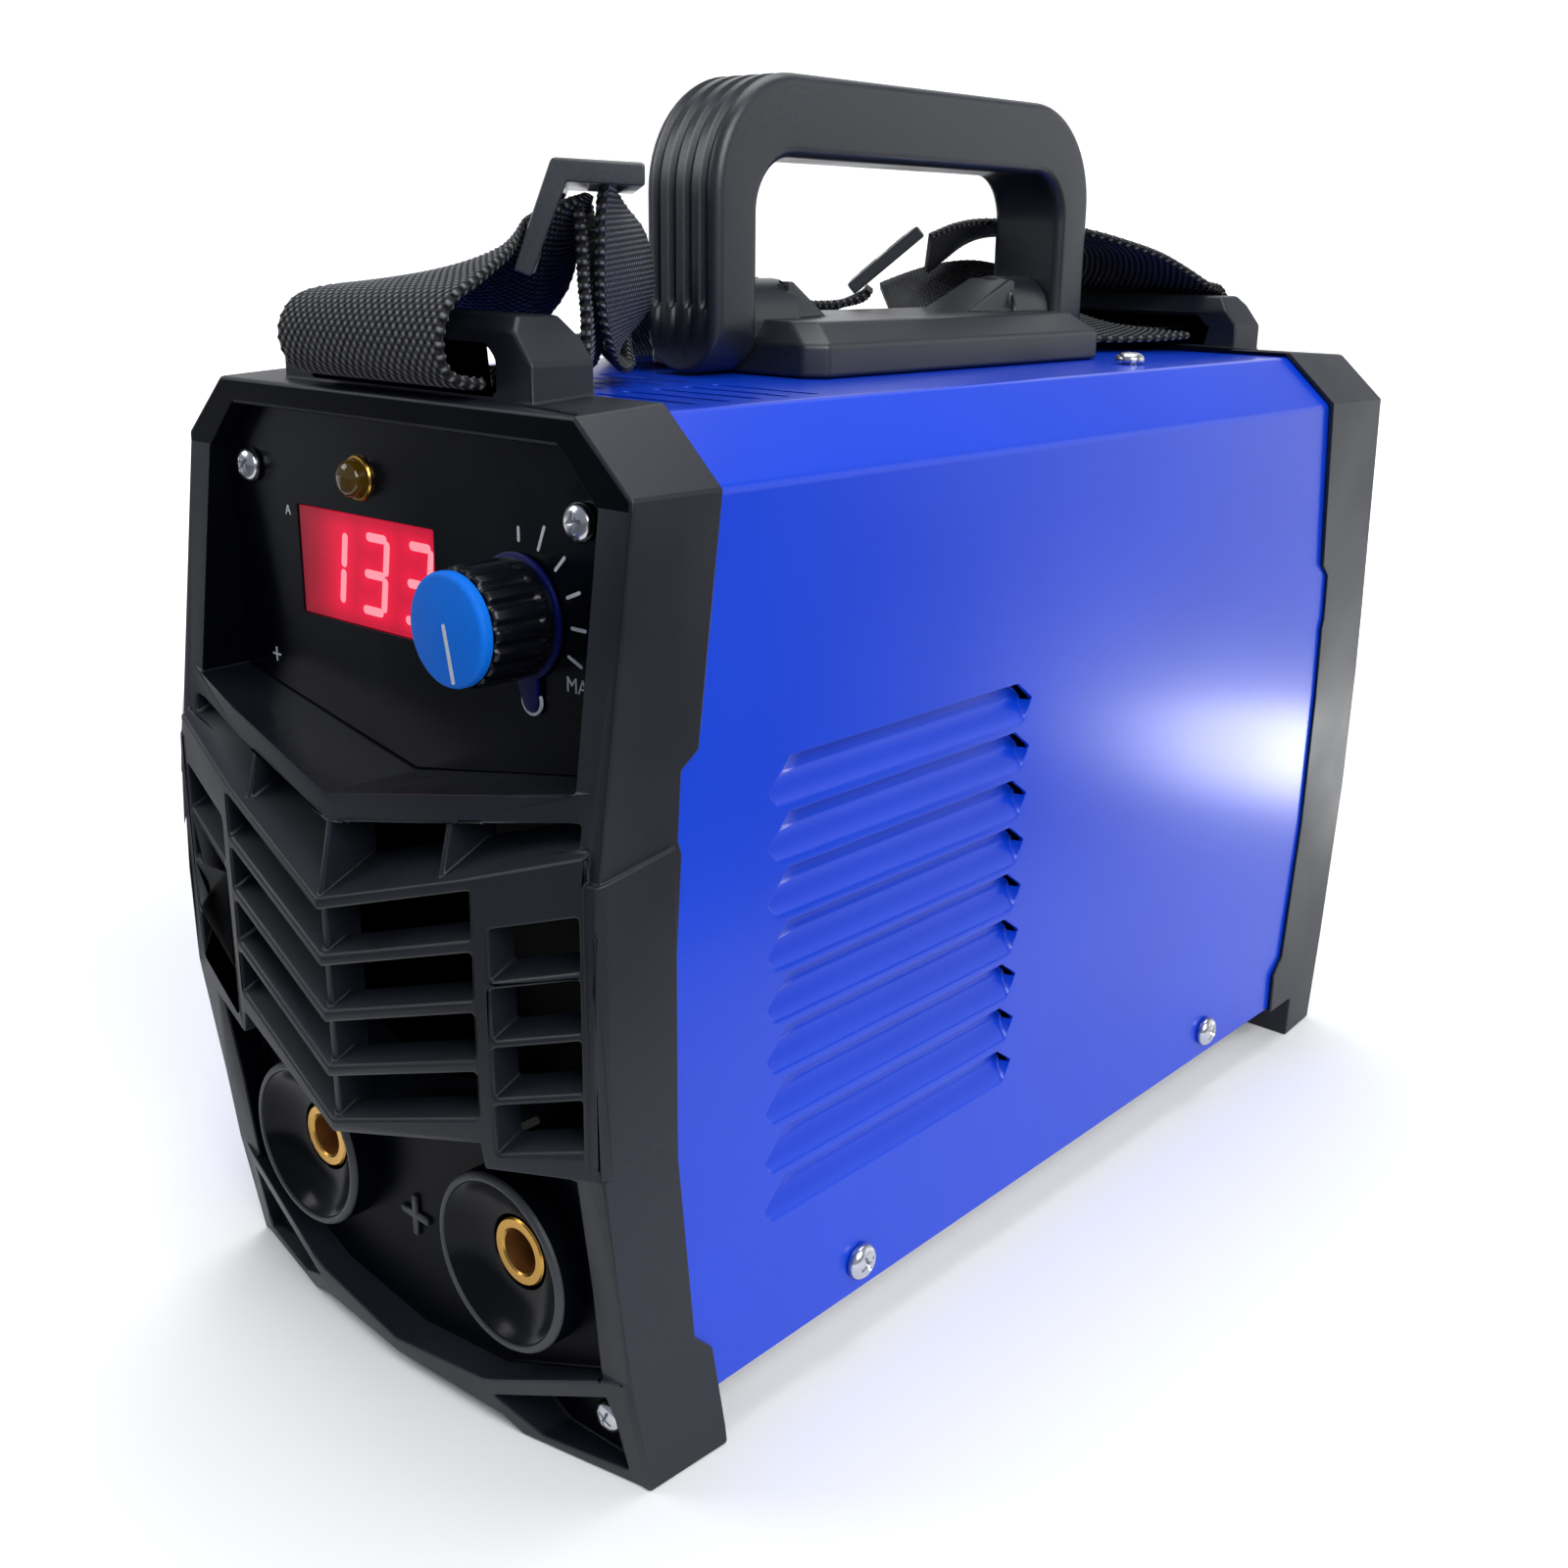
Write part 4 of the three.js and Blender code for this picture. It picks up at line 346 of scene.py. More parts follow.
# %% Metals
def bare_metal(name, hex_code, roughness, mottle, spread=0.08):
    """A metal whose tone and polish vary over patches of some millimetres."""
    made, tree = new_finish(name)
    where = add(tree, "ShaderNodeTexCoord")
    patch = add(tree, "ShaderNodeTexNoise", {"Vector": where.outputs["Object"], "Scale": every(mottle),
                                             "Detail": 4.0})
    shade = add(tree, "ShaderNodeMapRange", {"Value": patch.outputs["Fac"], "To Min": 0.82, "To Max": 1.08})
    colour = add(tree, "ShaderNodeMix", {0: 1.0, 6: linear(hex_code), 7: shade.outputs[0]}, data_type="RGBA",
                 blend_type="MULTIPLY")
    rough = add(tree, "ShaderNodeMapRange", {"Value": patch.outputs["Fac"], "To Min": roughness - spread,
                                             "To Max": roughness + spread})
    bump = add(tree, "ShaderNodeBump", {"Height": patch.outputs["Fac"], "Strength": 0.15,
                                        "Distance": 0.01 * MM})
    shader = add(tree, "ShaderNodeBsdfPrincipled", {
        "Base Color": colour.outputs[2], "Metallic": 1.0, "Roughness": rough.outputs[0],
        "Normal": bump.outputs[0]})
    add(tree, "ShaderNodeOutputMaterial", {"Surface": shader.outputs["BSDF"]})
    return made


# turned and plated: bright and clean, with small sharp lights
BRASS = bare_metal("machined_brass", "#c79a4c", 0.24, 1.5)
ZINC = bare_metal("zinc_plated_steel", "#cfd1d4", 0.22, 0.8)
# drilled: rough enough to glow warm from the depth of the bore, where polish would go black
BORE_BRASS = bare_metal("drilled_brass", "#d09a5c", 0.5, 1.0)
# rolled, extruded and drawn: softer, seen only through the vents
COPPER = bare_metal("copper_bar", "#b9683c", 0.3, 2)
ALUMINIUM = bare_metal("extruded_aluminium", "#b7babd", 0.36, 2)
WIRE = bare_metal("enamelled_wire", "#a8683a", 0.34, 1.1)
print("materials so far:", len(bpy.data.materials))

# %% [markdown]
# ## Polypropylene webbing
# The shoulder strap is black webbing, 48 mm wide. Its warp runs lengthwise in cords a millimetre apart, and
# the weft crosses over and under them, which gives the checkered pips that the picture shows. The strap
# meshes below carry their own coordinates, millimetres across and along, so the weave follows every bend.
# Two waves multiplied give the pips, and a fine noise gives the yarn. The hollows are painted nearly black,
# as painted shade, and the tops pale, as a painted highlight, so the strap reads as cloth and not as rubber.

# %% Webbing
CORD_PITCH = 1.0
YARNS_A_MM, YARN_SHARE, PIP_BUMP = 2.2, 0.6, 0.35


def woven_webbing(name, dark, pale):
    """Cloth painted dark in its hollows as shade and pale on its pips as a highlight, by the mesh's own
    coordinates.
    """
    made, tree = new_finish(name)
    lay = add(tree, "ShaderNodeAttribute", attribute_name="lay")
    split = add(tree, "ShaderNodeSeparateXYZ", {0: lay.outputs["Vector"]})
    waves = []
    for way in (0, 1):
        phase = add(tree, "ShaderNodeMath", {0: split.outputs[way], 1: math.pi / CORD_PITCH},
                    operation="MULTIPLY")
        waves.append(add(tree, "ShaderNodeMath", {0: phase.outputs[0]}, operation="SINE"))
    check = add(tree, "ShaderNodeMath", {0: waves[0].outputs[0], 1: waves[1].outputs[0]},
                operation="MULTIPLY")
    yarn = add(tree, "ShaderNodeTexNoise", {"Vector": lay.outputs["Vector"], "Scale": YARNS_A_MM,
                                            "Detail": 3.0})
    high = add(tree, "ShaderNodeMath", {0: yarn.outputs["Fac"], 1: YARN_SHARE, 2: check.outputs[0]},
               operation="MULTIPLY_ADD")
    tone = add(tree, "ShaderNodeMapRange", {"Value": high.outputs[0], "From Min": 0.35, "From Max": 1.3})
    colour = add(tree, "ShaderNodeMix", {0: tone.outputs[0], 6: linear(dark), 7: linear(pale)},
                 data_type="RGBA")
    bump = add(tree, "ShaderNodeBump", {"Height": high.outputs[0], "Strength": 0.9,
                                        "Distance": PIP_BUMP * MM})
    shader = add(tree, "ShaderNodeBsdfPrincipled", {
        "Base Color": colour.outputs[2], "Roughness": 0.62, "IOR": 1.49, "Normal": bump.outputs[0],
        "Specular IOR Level": 0.3, "Sheen Weight": 0.05, "Sheen Roughness": 0.5})
    add(tree, "ShaderNodeOutputMaterial", {"Surface": shader.outputs["BSDF"]})
    return made


# the webbing is black: its pale tone is a painted highlight on the pips, its dark tone painted shade in the
# hollows
WEBBING = woven_webbing("polypropylene_webbing", "#020203", "#6e7176")
print("a pip every", CORD_PITCH, "mm")

# %% [markdown]
# ## Panel film, print, lit display and lamp
# The control plate wears a satin black film with pale print. The display is a red filter with the lit field
# behind it: the digits glow pale pink and light the filter round them. A point attribute named glow, worked
# out from the distance to the nearest segment, carries that halo. The lamp is clear amber and unlit, and has
# a faint painted glow for the light that passes through it.

# %% Panel, display and lamp
FILTER_CLOUD, CLOUD_SHARE = 9, 0.25


def clear_plastic(name, base, rough, glow_from, glow_to, power):
    """A clear plastic that glows between two colours, as its mesh's glow attribute says."""
    made, tree = new_finish(name)
    halo = add(tree, "ShaderNodeAttribute", attribute_name="glow")
    where = add(tree, "ShaderNodeTexCoord")
    patch = add(tree, "ShaderNodeTexNoise", {"Vector": where.outputs["Object"],
                                             "Scale": every(FILTER_CLOUD), "Detail": 3.0})
    lit = add(tree, "ShaderNodeMath", {0: patch.outputs["Fac"], 1: CLOUD_SHARE, 2: halo.outputs["Fac"]},
              operation="MULTIPLY_ADD")
    colour = add(tree, "ShaderNodeMix", {0: lit.outputs[0], 6: linear(glow_from), 7: linear(glow_to)},
                 data_type="RGBA")
    shader = add(tree, "ShaderNodeBsdfPrincipled", {
        "Base Color": linear(base), "Roughness": rough, "IOR": 1.49, "Emission Color": colour.outputs[2],
        "Emission Strength": power})
    add(tree, "ShaderNodeOutputMaterial", {"Surface": shader.outputs["BSDF"]})
    return made


# satin: a smooth black that gives the lights back dimly
PANEL_FILM = grained_skin("satin_panel_film", "#03040a", "#060810", 0.24, grain=0.3, depth=0.004,
                          mirror=0.18)
# ink: flat, and a little grey where it is thin
PRINT = grained_skin("pad_print_white", "#aeb4bb", "#d5d9de", 0.5, grain=0.4, depth=0.002)
# acrylic and epoxy: a gloss over a colour that comes from within; in the unlit amber lamp that faint glow is
# painted light
RED_FILTER = clear_plastic("red_acrylic_filter", "#2a0208", 0.2, "#2a0108", "#f41240", 0.92)
LIT_SEGMENT = clear_plastic("lit_segment", "#8a3a44", 0.3, "#ff8a9a", "#ffd6da", 1.0)
# the unlit lamp's faint emission is a painted glow
AMBER = clear_plastic("amber_epoxy", "#4a3608", 0.06, "#0c0801", "#281a02", 0.3)
print("materials so far:", len(bpy.data.materials))

# %% [markdown]
# ## What is inside
# The fan, the boards and the power stage show only through the vents, and still get the surface of the real
# ones: green solder resist, ferrite and black capacitor sleeves, beside the metals above. Then every solid
# gets its finish. A solid that isn't named here is zinc-plated steel: screws, pins, potentiometer and
# chassis.

# %% Finishes inside, and who wears what
# lacquer, sintered powder and shrink sleeve: dull to half glossy, dark against the metal
BOARD = grained_skin("solder_resist_green", "#0f4426", "#1d6a3c", 0.35, grain=2.0, depth=0.01)
FERRITE = grained_skin("ferrite", "#2a2b2e", "#3d3e42", 0.62, grain=0.3)
SLEEVE = grained_skin("capacitor_sleeve", "#14151c", "#22242e", 0.3, grain=3, depth=0.004)

NODE_FINISHES = {
    BEZEL_ABS: ["front_bezel", "rear_bezel"],
    SOCKET_BOWL: ["negative_socket", "positive_socket"],
    HANDLE_ABS: ["handle", "handle_base"],
    COVER_PAINT: ["cover"],
    PANEL_FILM: ["control_panel"],
    KNOB_ABS: ["knob_body"],
    SLIDER_ABS: ["strap_slider_front", "strap_slider_rear"],
    SMALL_ABS: ["fan_frame", "fan_rotor", "fan_guard", "switch_housing", "gland_body", "gland_locknut",
                "gland_cap", "bridge_rectifier"],
    BLUE_CAP: ["knob_cap"],
    RED_FILTER: ["display_window", "display_module"],
    AMBER: ["power_lamp"],
    ROCKER_RED: ["switch_rocker"],
    BRASS: ["negative_insert", "positive_insert"],
    COPPER: ["negative_busbar", "positive_busbar"],
    ALUMINIUM: ["switch_heatsink", "rectifier_heatsink"],
    BOARD: ["control_board", "main_board"],
    FERRITE: ["transformer_core"],
    WIRE: ["transformer_winding", "output_choke"],
    SLEEVE: ["capacitor_1", "capacitor_2", "capacitor_3"],
    WEBBING: ["strap_front", "strap_side", "strap_rear"],
}
FINISH_OF = {node: finish for finish, nodes in NODE_FINISHES.items() for node in nodes}
for name, node in frame["nodes"].items():
    node.data.materials.clear()
    node.data.materials.append(FINISH_OF.get(name, ZINC))
print("finishes on", len(frame["nodes"]), "solids")

# %% [markdown]
# ## Pieces
# A new piece is a mesh that rides on one of the bodies. It stands for a solid, or lies on or behind one.
# Three ways of making one come back all through the lesson: a solid whose edges are rounded, as every
# moulded edge is; a profile turned round an axis; and a grid of rows and columns.

# %% Helpers for pieces
BODY_OF = {node: body for body, nodes in frame["record"]["behaviour"]["bodies"].items() for node in nodes}


def piece(name, data, finish, body, stands_for=(), smooth=35):
    """A mesh as a piece of the machine: shaded, on its body, and in place of the solids it stands for."""
    made = bpy.data.objects.new(name, data)
    bpy.context.collection.objects.link(made)
    data.materials.clear()
    data.materials.append(finish)
    for face in data.polygons:
        face.use_smooth = True
    data.set_sharp_from_angle(angle=math.radians(smooth))
    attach(made, body)
    if stands_for:
        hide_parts(*stands_for)
    return made


def for_node(node, data, smooth=35):
    """A piece that takes one solid's place, finish and body."""
    return piece(node + "_detailed", data, FINISH_OF.get(node, ZINC), BODY_OF[node], [node],
                 smooth)


def from_form(form, name):
    """A bmesh turned into mesh data."""
    bmesh.ops.recalc_face_normals(form, faces=form.faces)
    data = bpy.data.meshes.new(name)
    form.to_mesh(data)
    form.free()
    return data


def with_modifiers(data, *recipes):
    """Mesh data after modifiers, each given as (kind, settings)."""
    holder = bpy.data.objects.new("holder", data)
    bpy.context.collection.objects.link(holder)
    for kind, settings in recipes:
        step = holder.modifiers.new(kind.lower(), kind)
        for key, value in settings.items():
            setattr(step, key, value)
    graph = bpy.context.evaluated_depsgraph_get()
    made = bpy.data.meshes.new_from_object(holder.evaluated_get(graph))
    bpy.data.objects.remove(holder)
    return made


# degrees: a fold that is less than the first is flat, and one that is more than the second is an edge
FLAT_FOLD, SHARP_FOLD = 1.0, 24
# a rounding takes at most this share of the shortest edge beside it
ROOM_SHARE = 0.42
# a point of a rounding that lies more than this share of the radius off the solid goes back to it
ASTRAY = 0.7


def rounded(node, radius, weld):
    """A copy of a solid, its flat faces joined and its sharp edges rounded, less where there is less room."""
    solid = frame["nodes"][node].data
    form = bmesh.new()
    form.from_mesh(solid)
    bmesh.ops.remove_doubles(form, verts=form.verts, dist=weld * MM)
    bmesh.ops.dissolve_limit(form, angle_limit=math.radians(FLAT_FOLD), verts=form.verts, edges=form.edges)
    weight = form.edges.layers.float.new("bevel_weight_edge")
    for edge in form.edges:
        if edge.calc_face_angle(0) > math.radians(SHARP_FOLD):
            near = [e.calc_length() for v in edge.verts for e in v.link_edges]
            edge[weight] = min(1.0, ROOM_SHARE * min(near) / (radius * MM))
    data = from_form(form, node)
    data = with_modifiers(data, ("BEVEL", {"width": radius * MM, "segments": 2, "limit_method": "WEIGHT",
                                           "use_clamp_overlap": False, "miter_outer": "MITER_ARC"}))
    skin = BVHTree.FromPolygons([v.co for v in solid.vertices], [list(f.vertices) for f in solid.polygons])
    for vertex in data.vertices:
        spot, _, _, gone = skin.find_nearest(vertex.co)
        if gone > ASTRAY * radius * MM:
            vertex.co = spot
    return evenly_shaded(data)


def evenly_shaded(data):
    """Smooth mesh data whose large faces stay flat to the eye, and whose small ones take up the bend."""
    for face in data.polygons:
        face.use_smooth = True
    return with_modifiers(data, ("WEIGHTED_NORMAL", {"keep_sharp": False, "weight": 100}))


def turned(profile, centre, name, axis=(0, -1, 0), sides=72):
    """A profile of (radius, distance) in millimetres, turned round an axis through a centre in metres."""
    form = bmesh.new()
    rings = []
    for radius, reach in profile:
        ring = []
        for i in range(sides if radius > 0 else 1):
            a = 2 * math.pi * i / sides
            ring.append(form.verts.new((radius * math.cos(a) * MM, radius * math.sin(a) * MM, reach * MM)))
        rings.append(ring)
    for low, high in zip(rings, rings[1:]):
        for i in range(sides):
            j = (i + 1) % sides
            if len(low) == 1:
                form.faces.new((low[0], high[i], high[j]))
            elif len(high) == 1:
                form.faces.new((low[i], low[j], high[0]))
            else:
                form.faces.new((low[i], low[j], high[j], high[i]))
    form.transform(Matrix.Translation(centre) @ Vector(axis).to_track_quat("Z", "Y").to_matrix().to_4x4())
    return from_form(form, name)


# %% [markdown]
# ## Bezels, plinth and small mouldings
# The solids already have the true outline, the slanted grille bars and the wells. What a mould adds is a
# rounded edge everywhere, which is what catches the light, so each is copied with its edges rounded. The
# front bezel is cut from many bodies, and its slivers need a coarser weld first.

# %% Rounded mouldings
EDGE_RADII = {"front_bezel": 0.7, "rear_bezel": 0.7, "handle_base": 0.9, "strap_slider_front": 0.6,
              "strap_slider_rear": 0.6, "fan_guard": 0.4, "fan_frame": 0.6, "fan_rotor": 0.4,
              "switch_housing": 0.5, "switch_rocker": 0.5, "control_panel": 0.25, "gland_body": 0.4,
              "gland_cap": 0.4}
FINE_WELD, NOSE_WELD = 0.2, 0.5

for node, radius in EDGE_RADII.items():
    made = for_node(node, rounded(node, radius, NOSE_WELD if node == "front_bezel" else FINE_WELD))
    print(made.name, len(made.data.polygons), "faces")

# %% [markdown]
# ## Places, outlines and skins
# The machine is drawn in millimetres from the middle of its cover, so one function turns such a point into
# the frame. Thin flat things, such as ticks, lit segments and moulded signs, are outlines with a little
# thickness.

# %% Helpers for places and outlines
cover_low, cover_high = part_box("cover")
MIDDLE_Y = ((cover_low + cover_high) / 2).y / MM
PANEL_FACE = -129.0
# degrees: a corner sharper than this is eased
EASED_ANGLE = 50


def at(x, y, z):
    """A point of the frame, in metres, from millimetres measured from the middle of the cover."""
    return Vector((x, y + MIDDLE_Y, z)) * MM


def skinned(form, rows, closed=False, left_out=None):
    """Faces between rows of vertices, each row as long as the next."""
    for i, (low, high) in enumerate(zip(rows, rows[1:])):
        for j in range(len(low) if closed else len(low) - 1):
            k = (j + 1) % len(low)
            corners = list(dict.fromkeys((low[j], low[k], high[k], high[j])))
            if len(corners) > 2 and not (left_out and left_out(i, j)):
                form.faces.new(corners)


def capsule(start, end, wide, steps=6):
    """The outline of a bar with round ends between two points of a plane."""
    (x0, z0), (x1, z1) = start, end
    lean = math.atan2(z1 - z0, x1 - x0)
    turn = [math.pi * i / steps - math.pi / 2 for i in range(steps + 1)]
    return ([(x1 + wide / 2 * math.cos(lean + t), z1 + wide / 2 * math.sin(lean + t)) for t in turn]
            + [(x0 - wide / 2 * math.cos(lean + t), z0 - wide / 2 * math.sin(lean + t)) for t in turn])


def slabs(outlines, front, thick, name, edge=0.0):
    """Outlines drawn in (x, z) as slabs whose front faces lie at one y, with eased front edges."""
    form = bmesh.new()
    for line in outlines:
        back = [form.verts.new(at(x, front + thick, z)) for x, z in line]
        face = [form.verts.new(at(x, front, z)) for x, z in line]
        skinned(form, [back, face], closed=True)
        form.faces.new(face)
        form.faces.new(list(reversed(back)))
    data = from_form(form, name)
    if edge:
        data = with_modifiers(data, ("BEVEL", {"width": edge * MM, "segments": 2, "limit_method": "ANGLE",
                                               "angle_limit": math.radians(EASED_ANGLE)}))
    return data


def ease(share):
    """A smooth step from 0 to 1."""
    share = min(1.0, max(0.0, share))
    return share * share * (3 - 2 * share)


print("the cover's middle stands", round(MIDDLE_Y, 2), "mm from the frame's")

# %% [markdown]
# ## Painted shade in the recesses, and a black mat behind the grille
# The recess round the control plate and the well of the sockets are polished and lie in shadow, so their
# faces get painted shade: a darker tone that mirrors next to nothing, blacker than the outside of the same
# moulding. The ledge under the plate is polished too, and faces the light. One mesh can wear several
# materials, so faces of the bezel are picked by where they are and get an index of their own. Behind the
# grille's bars lies a mat of black foam as painted shade for the dark inside: it is drawn as a filter that
# lets air through, and it hides what is behind it. It is a plain slab.

# %% Painted shade: dark recesses and the mat behind the grille
RECESS_HALF, RECESS_FRONT, RECESS_BACK, RECESS_TOP = 57.9, -141, -126, 193
# the recess ends below at the brow, which climbs from the middle to the sides
BROW_Z, BROW_CLIMB = 129, 0.186
WELL_FRONT, WELL_FLOOR, WELL_LOW, WELL_TOP, WELL_FLAT_HALF = -140, -134.2, 6, 69.5, 56
LEDGE_FRONT, LEDGE_BACK, LEDGE_LOW, LEDGE_TOP, LEVEL = -146, -129, 124, 142, 0.9
FOAM_HALF, FOAM_LOW, FOAM_TOP, FOAM_FACE, FOAM_THICK = 60, 62, 134, -121.5, 2


def nose_shade_or_ledge(x, y, z, upward):
    """1 for a wall of the recess or the well, which gets the painted shade, 2 for the ledge, and 0 for the
    rest of the bezel.
    """
    if abs(x) >= RECESS_HALF:
        return 0
    if RECESS_FRONT < y < RECESS_BACK and BROW_Z + abs(x) * BROW_CLIMB < z < RECESS_TOP:
        return 1
    off_the_floor = y > WELL_FLOOR or abs(x) > WELL_FLAT_HALF
    if WELL_FRONT < y < RECESS_BACK and WELL_LOW < z < WELL_TOP and off_the_floor:
        return 1
    return 2 if upward > LEVEL and LEDGE_FRONT < y < LEDGE_BACK and LEDGE_LOW < z < LEDGE_TOP else 0


bezel = bpy.data.objects["front_bezel_detailed"].data
# the walls of the recess and the well get painted shade: a darker material with almost no mirror
bezel.materials.append(RECESS_SHADE_ABS)
bezel.materials.append(LEDGE_ABS)
for face in bezel.polygons:
    x, y, z = face.center / MM
    face.material_index = nose_shade_or_ledge(x, y - MIDDLE_Y, z, face.normal.z)
print("dark faces:", sum(face.material_index == 1 for face in bezel.polygons))

# the black mat is painted shade, a dark sheet where the inside of the grille lies in shadow
mat_corners = [(-FOAM_HALF, FOAM_LOW), (FOAM_HALF, FOAM_LOW), (FOAM_HALF, FOAM_TOP), (-FOAM_HALF, FOAM_TOP)]
foam = slabs([mat_corners], FOAM_FACE, FOAM_THICK, "intake_filter", edge=0.3)
piece("intake_filter", foam, SHADE_MAT_FOAM, "machine")
print("filter mat of", 2 * FOAM_HALF, "x", FOAM_TOP - FOAM_LOW, "mm")

# %% [markdown]
# ## Cover
# The cover is one sheet with soft folds at the shoulders. Nine louvres are pressed inwards on each side: a
# cut along the top, a steep upper part, and a ramp that rises back to the sheet. Their front ends are drawn
# slantwise, and at the rear end the sheet has torn free, which leaves a small black notch. A cut solid
# can't have such soft ramps, so the sheet is laid out as rows of points, one side after the other, and then
# given its thickness. Between the louvred side and the slotted top the columns differ, so a zip of
# triangles joins them on the flat of the shoulder.

# %% Cover: the louvred side
SIDE, COVER_TOP, COVER_LOW, COVER_END = 65.0, 197.3, 13.4, 127.4
SHOULDER_WIDE, SHOULDER_TALL, FOLD = 13.0, 11.6, 2.5
LOUVRES, LOUVRE_PITCH, LOUVRE_TOP, LOUVRE_TALL, LOUVRE_DEEP = 9, 10.67, 136.5, 9.2, 3.4
LOUVRE_FRONT, LOUVRE_REAR, LOUVRE_SLANT = -100.5, -17.5, 5.5
# a louvre's rows from its bottom up, as shares of the way down, and how far the ramp and the tear reach
DOWN_A_LOUVRE = [1, 0.93, 0.86, 0.76, 0.66, 0.57, 0.49, 0.42, 0.3, 0.15, 0]
RAMP_SHARE, NOTCH_DOWN = 0.6, 0.45
# how far down an end's slant stops, and how far the end is drawn in again at the bottom
FRONT_KNEE, FRONT_FOOT, REAR_KNEE, REAR_FOOT = 0.65, 2, 0.43, 3
# heights of the rows between louvres and shoulder, and the shares of the shoulder between which the zip lies
PLAIN_ROWS = (152, 168)
ZIP_FROM, ZIP_TO = 0.3, 0.7

# each column is at a fixed place, or at a distance from a louvre's front or rear end
# its last value is its share of the louvre's depth
SIDE_COLUMNS = ([(None, y, 0) for y in (-COVER_END, -112, -106)]
                + [("front", 0, 0), ("front", 0.5, 0.85), ("front", 1.2, 1)]
                + [(None, y, 1) for y in range(-88, -25, 9)]
                + [("rear", -1.2, 1), ("rear", -0.5, 0.85), ("rear", 0, 0)]
                + [(None, y, 0) for y in (-8, 20, 50, 80, 110, COVER_END)])
NOTCH_COLUMN = [i for i, (end, value, share) in enumerate(SIDE_COLUMNS) if end == "rear"][1]


def drawn_in(down, knee, foot):
    """How far a louvre's end stands inside its full length, at a share of the way down."""
    return LOUVRE_SLANT * (1 - down / knee) if down < knee else foot * (down - knee) / (1 - knee)


def column_y(end, value, down):
    """Where a column is at a share of the way down a louvre."""
    if end == "front":
        return LOUVRE_FRONT + drawn_in(down, FRONT_KNEE, FRONT_FOOT) + value
    if end == "rear":
        return LOUVRE_REAR - drawn_in(down, REAR_KNEE, REAR_FOOT) + value
    return value


def fold_arc(corner, before, after, radius, steps=5):
    """Points of a rounded fold at a corner of the section, between two directions."""
    a, b = Vector(before).normalized(), Vector(after).normalized()
    reach = radius * math.tan(a.angle(b) / 2)
    first, last = Vector(corner) - a * reach, Vector(corner) + b * reach
    return [tuple(((1 - t) ** 2 * first + 2 * t * (1 - t) * Vector(corner) + t * t * last))
            for t in (i / steps for i in range(steps + 1))]


SHOULDER = (-SHOULDER_WIDE, SHOULDER_TALL)
LOW_FOLD = fold_arc((SIDE, COVER_TOP - SHOULDER_TALL), (0, 1), SHOULDER, FOLD)
HIGH_FOLD = fold_arc((SIDE - SHOULDER_WIDE, COVER_TOP), SHOULDER, (-1, 0), FOLD)


def louvred_side(form, sign):
    """Skins one side, and returns its last row, on the flat of the shoulder."""
    def row(x, z, down=0.0, deep=0.0):
        return [form.verts.new(at(sign * (x - deep * share), column_y(end, value, down), z))
                for end, value, share in SIDE_COLUMNS]

    last = row(SIDE, COVER_LOW, 1)
    for i in reversed(range(LOUVRES)):
        top = LOUVRE_TOP - i * LOUVRE_PITCH
        for down in DOWN_A_LOUVRE:
            deep = LOUVRE_DEEP * ease((1 - down) / RAMP_SHARE)
            new = row(SIDE, top - down * LOUVRE_TALL, down, deep)
            torn = down < NOTCH_DOWN
            skinned(form, [last, new], left_out=lambda _, j: torn and j == NOTCH_COLUMN)
            last = new
        last = [v if share == 0 else form.verts.new(at(sign * SIDE, column_y(end, value, 0), top))
                for v, (end, value, share) in zip(last, SIDE_COLUMNS)]
    rows = [last] + [row(SIDE, z) for z in PLAIN_ROWS] + [row(x, z) for x, z in LOW_FOLD]
    rows.append(row(*(Vector(LOW_FOLD[-1]) * ZIP_TO + Vector(HIGH_FOLD[0]) * ZIP_FROM)))
    skinned(form, rows)
    return rows[-1]


# %% Cover: the slotted top
SLOTS_Y = [-100 + 8 * i for i in range(5)]
SLOTS_X = (-33, 0, 33)
SLOT_HALF_LONG, SLOT_HALF_WIDE, SLOT_CORNER = 13.5, 1.2, 0.8
INNER_LONG, INNER_WIDE = SLOT_HALF_LONG - SLOT_CORNER, SLOT_HALF_WIDE - SLOT_CORNER
# the top's columns and rows lie close together where the slots are
TOP_Y = sorted([-COVER_END, -112, -50, -20, 20, 60, 110, COVER_END]
               + [y + d for y in SLOTS_Y for d in (-SLOT_HALF_WIDE, -INNER_WIDE, INNER_WIDE, SLOT_HALF_WIDE)])
TOP_X = sorted([x + d for x in SLOTS_X for d in (-SLOT_HALF_LONG, -INNER_LONG, INNER_LONG, SLOT_HALF_LONG)],
               reverse=True)


